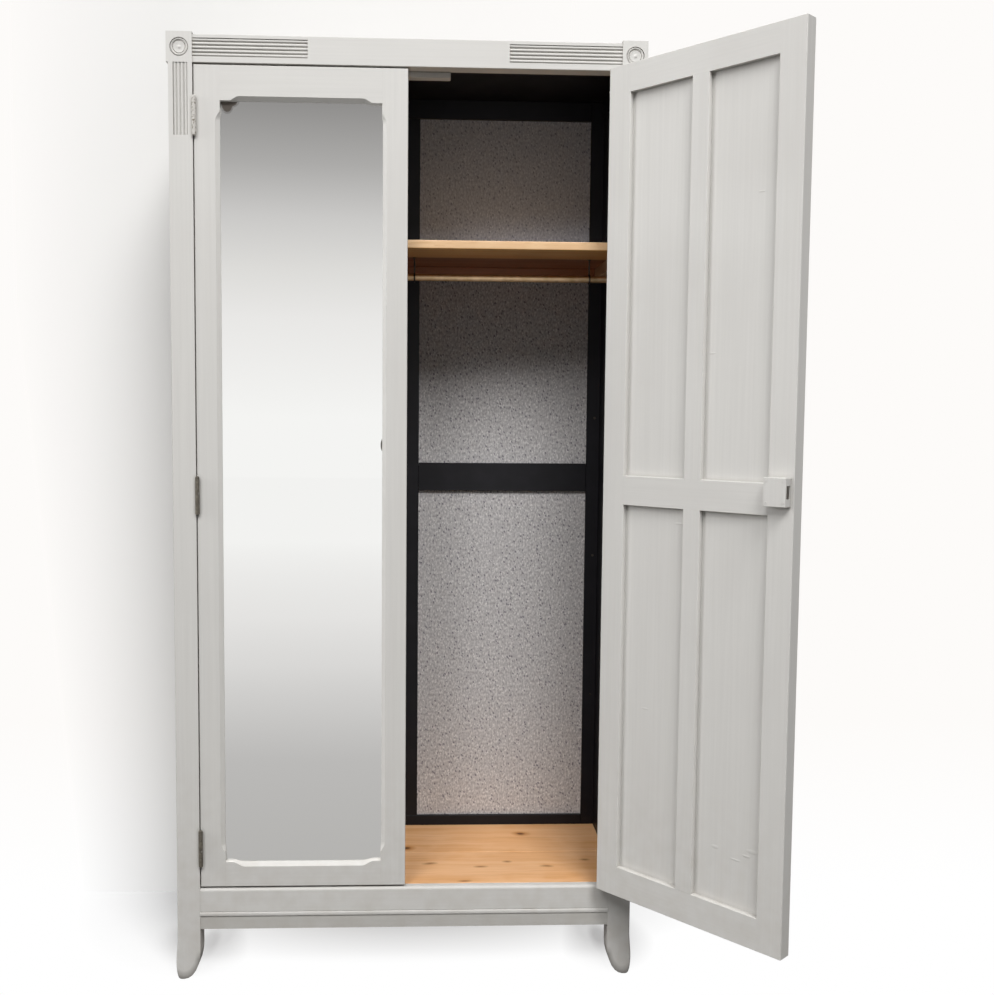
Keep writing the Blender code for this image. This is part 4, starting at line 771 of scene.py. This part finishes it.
# Pale studio floor: white to the camera but for painted shadow ovals around the armoire, in which its real
# shadow shows too; in the mirrors a painted glow, greyer near the armoire as painted shade and white far
# off; and a plain grey for the light it throws back.
def floor_finish():
    material, tree, place = new_finish("pale_studio_floor")
    matt = add(tree, "BsdfDiffuse", {"Color": linear("#6E6D6B")})
    bright = add(tree, "BsdfDiffuse", {"Color": linear("#F4F4F4")})
    white = add(tree, "Emission", {"Color": linear("#FFFFFF"), "Strength": 1.0})
    across = add(tree, "SeparateXYZ", {0: place}, out="X")
    left_of_post = {"Value": across, "From Min": CENTRE_X - 0.47, "From Max": CENTRE_X - 0.50}
    outside = add(tree, "MapRange", left_of_post)
    # Painted shadows as ovals, each by its centre and radii; inside them the floor shows its diffuse shading.
    under = [(at(0, 0.35, 0), (0.75, 0.30, 1.0))]
    under += [(at(x, 0.22, 0), (0.13, 0.22, 1.0)) for x in (-0.46, 0.46)]
    by_leg = [(at(x, 0.18, 0), (0.06, 0.15, 1.0)) for x in (-0.455, 0.455)]
    beside = [(at(-0.45, 0.45, 0), (0.37, 0.45, 1.0)), (at(-0.46, 0.22, 0), (0.195, 0.19, 1.0))]
    share = 1.0
    for shadow, soft, depth, where in (
        (under, 0.37, 0.40, 1.0),
        (by_leg, 0.2, 0.58, 1.0),
        (beside, 0.35, 0.95, outside),
    ):
        ovals = spots(tree, place, shadow, soft=soft)
        shaded = add(tree, "Math", {0: ovals, 1: where}, operation="MULTIPLY")
        white_left = add(tree, "MapRange", {"Value": shaded, "To Min": 1.0, "To Max": 1 - depth})
        share = add(tree, "Math", {0: share, 1: white_left}, operation="MINIMUM")
    seen = add(tree, "MixShader", {0: share, 1: bright, 2: white})
    # Painted glow that the mirrors see: greyer near the armoire as painted shade, white far off.
    deep = add(tree, "SeparateXYZ", {0: place}, out="Y")
    far_off = 14.0  # metres in front of the armoire that the ramp below spans
    ahead = add(tree, "MapRange", {"Value": deep, "From Min": FRONT, "From Max": FRONT - far_off})
    grey = add(
        tree,
        "ValToRGB",
        {0: ahead},
        stops=[
            (0.0, "#B8B6B4"),
            (0.107, "#C3C1C0"),
            (0.152, "#D2D0CF"),
            (0.214, "#E2E0DF"),
            (0.307, "#EEECEB"),
            (0.60, "#FDFCFB"),
        ],
    )
    mirrored = add(tree, "Emission", {"Color": grey, "Strength": 1.0})
    glossy = add(tree, "LightPath", out="Is Glossy Ray")
    camera = add(tree, "LightPath", out="Is Camera Ray")
    bounced = add(tree, "MixShader", {0: glossy, 1: matt, 2: mirrored})
    add(tree, "OutputMaterial", {"Surface": add(tree, "MixShader", {0: camera, 1: bounced, 2: seen})})
    return material


# Backdrop sheet: white, with the armoire's soft shadow on its left, partly the lamps' real shadow and partly
# painted shade where the sheet turns to grey matt towards the armoire, and nothing at all from behind.
def backdrop_finish():
    material, tree, place = new_finish("white_backdrop")
    matt = add(tree, "BsdfDiffuse", {"Color": linear("#E4E3E1")})
    height = add(tree, "SeparateXYZ", {0: place}, out="Z")
    rising = add(tree, "MapRange", {"Value": height, "From Max": 0.45})
    paper = add(tree, "ValToRGB", {0: rising}, stops=[(0.0, "#FFFFFF"), (1.0, "#FDFBF9")])
    white = add(tree, "Emission", {"Color": paper, "Strength": 1.0})
    across = add(tree, "SeparateXYZ", {0: place}, out="X")
    low = add(tree, "MapRange", {"Value": height, "From Max": 1.5, "To Min": 0.36, "To Max": 0.0})
    # Beside the armoire on its left the sheet turns to its grey matt: painted shade, with the lamps' real
    # shadow over it.
    left, right = [
        add(tree, "MapRange", {"Value": across, "From Min": CENTRE_X + near, "From Max": CENTRE_X + far})
        for near, far in ((-0.58, -0.965), (-0.4, 0.4))
    ]
    aside = add(tree, "Math", {0: left, 1: low}, operation="ADD", use_clamp=True)
    share = add(tree, "Math", {0: aside, 1: right}, operation="MAXIMUM")
    front = add(tree, "MixShader", {0: share, 1: matt, 2: white})
    facing_away = add(tree, "NewGeometry", out="Backfacing")
    clear = add(tree, "BsdfTransparent")
    add(tree, "OutputMaterial", {"Surface": add(tree, "MixShader", {0: facing_away, 1: front, 2: clear})})
    return material


# Soft lamps: name, degrees right of the armoire's front, degrees above level, distance in metres, watts.
LAMPS = [("right", 18, 50, 8.0, 460), ("left", -25, 45, 8.0, 272), ("low_left", -80, 15, 8.0, 193)]
LAMP_SIZE = 2.8
SKY_STRENGTH = 0.112


def light_studio():
    """Soft lamps in front, an even sky, and a paler-to-greyer studio for the mirrors to show."""
    world = bpy.data.worlds.new("studio")
    bpy.context.scene.world = world
    world.use_nodes = True
    tree = world.node_tree
    tree.nodes.clear()
    up = add(tree, "SeparateXYZ", {0: add(tree, "TexCoord", out="Generated")}, out="Z")
    shades = add(
        tree,
        "ValToRGB",
        {0: add(tree, "MapRange", {"Value": up, "From Max": 0.35})},
        stops=[
            (0.0, "#FFFEFD"),
            (0.25, "#F3F1F0"),
            (0.375, "#E6E4E2"),
            (0.50, "#D3D1D0"),
            (0.623, "#B4B2B1"),
            (0.777, "#939190"),
            (1.0, "#868483"),
        ],
    )
    sky = add(tree, "Background", {"Color": linear("#FBFCFF"), "Strength": SKY_STRENGTH})
    mirrored = add(tree, "Background", {"Color": shades, "Strength": 1.0})
    white = add(tree, "Background", {"Color": linear("#FDFBF9"), "Strength": 1.0})
    glossy = add(tree, "LightPath", out="Is Glossy Ray")
    camera = add(tree, "LightPath", out="Is Camera Ray")
    lit = add(tree, "MixShader", {0: glossy, 1: sky, 2: mirrored})
    add(tree, "OutputWorld", {"Surface": add(tree, "MixShader", {0: camera, 1: lit, 2: white})})
    for name, azimuth, elevation, distance, watts in LAMPS:
        lamp = bpy.data.lights.new("softbox_" + name, "AREA")
        lamp.shape = "SQUARE"
        lamp.size = LAMP_SIZE
        lamp.energy = watts
        softbox = bpy.data.objects.new("softbox_" + name, lamp)
        bpy.context.scene.collection.objects.link(softbox)
        aside = Matrix.Rotation(math.radians(azimuth), 4, "Z")
        aloft = Matrix.Rotation(math.radians(90 - elevation), 4, "X")
        away = Matrix.Translation((0, 0, distance))
        softbox.matrix_world = Matrix.Translation(at(0, 0, 1.0)) @ aside @ aloft @ away


def set_camera():
    """Stands and turns the camera as fitted to the photograph."""
    yaw, pitch, roll = 0.04098, 0.07162, 0.00760
    wide, high = 994, 995  # the photograph's pixels, which the next two are in
    focal, middle = 1097.37, 460.09
    sensor = 36.0  # mm, along the picture's longer side
    ahead = Vector((math.sin(yaw) * math.cos(pitch), math.cos(yaw) * math.cos(pitch), -math.sin(pitch)))
    level = Vector((math.cos(yaw), -math.sin(yaw), 0))
    upward = level.cross(ahead)
    right = math.cos(roll) * level + math.sin(roll) * upward
    up = math.cos(roll) * upward - math.sin(roll) * level
    lens = bpy.data.cameras.new("camera")
    lens.sensor_width = sensor
    lens.lens = sensor * focal / high
    lens.shift_x = (wide / 2 - middle) / high
    camera = bpy.data.objects.new("camera", lens)
    bpy.context.scene.collection.objects.link(camera)
    turn = Matrix((right, up, -ahead)).transposed().to_4x4()
    stand = at(0.01687, -2.32013, 1.21582)
    camera.matrix_world = Matrix.Translation(stand) @ turn
    bpy.context.scene.camera = camera


dress_nodes()
fit_screws()
fit_rail_eyes()
fit_escutcheon()
build_stage()
light_studio()
set_camera()
bpy.context.scene.view_settings.view_transform = "Standard"
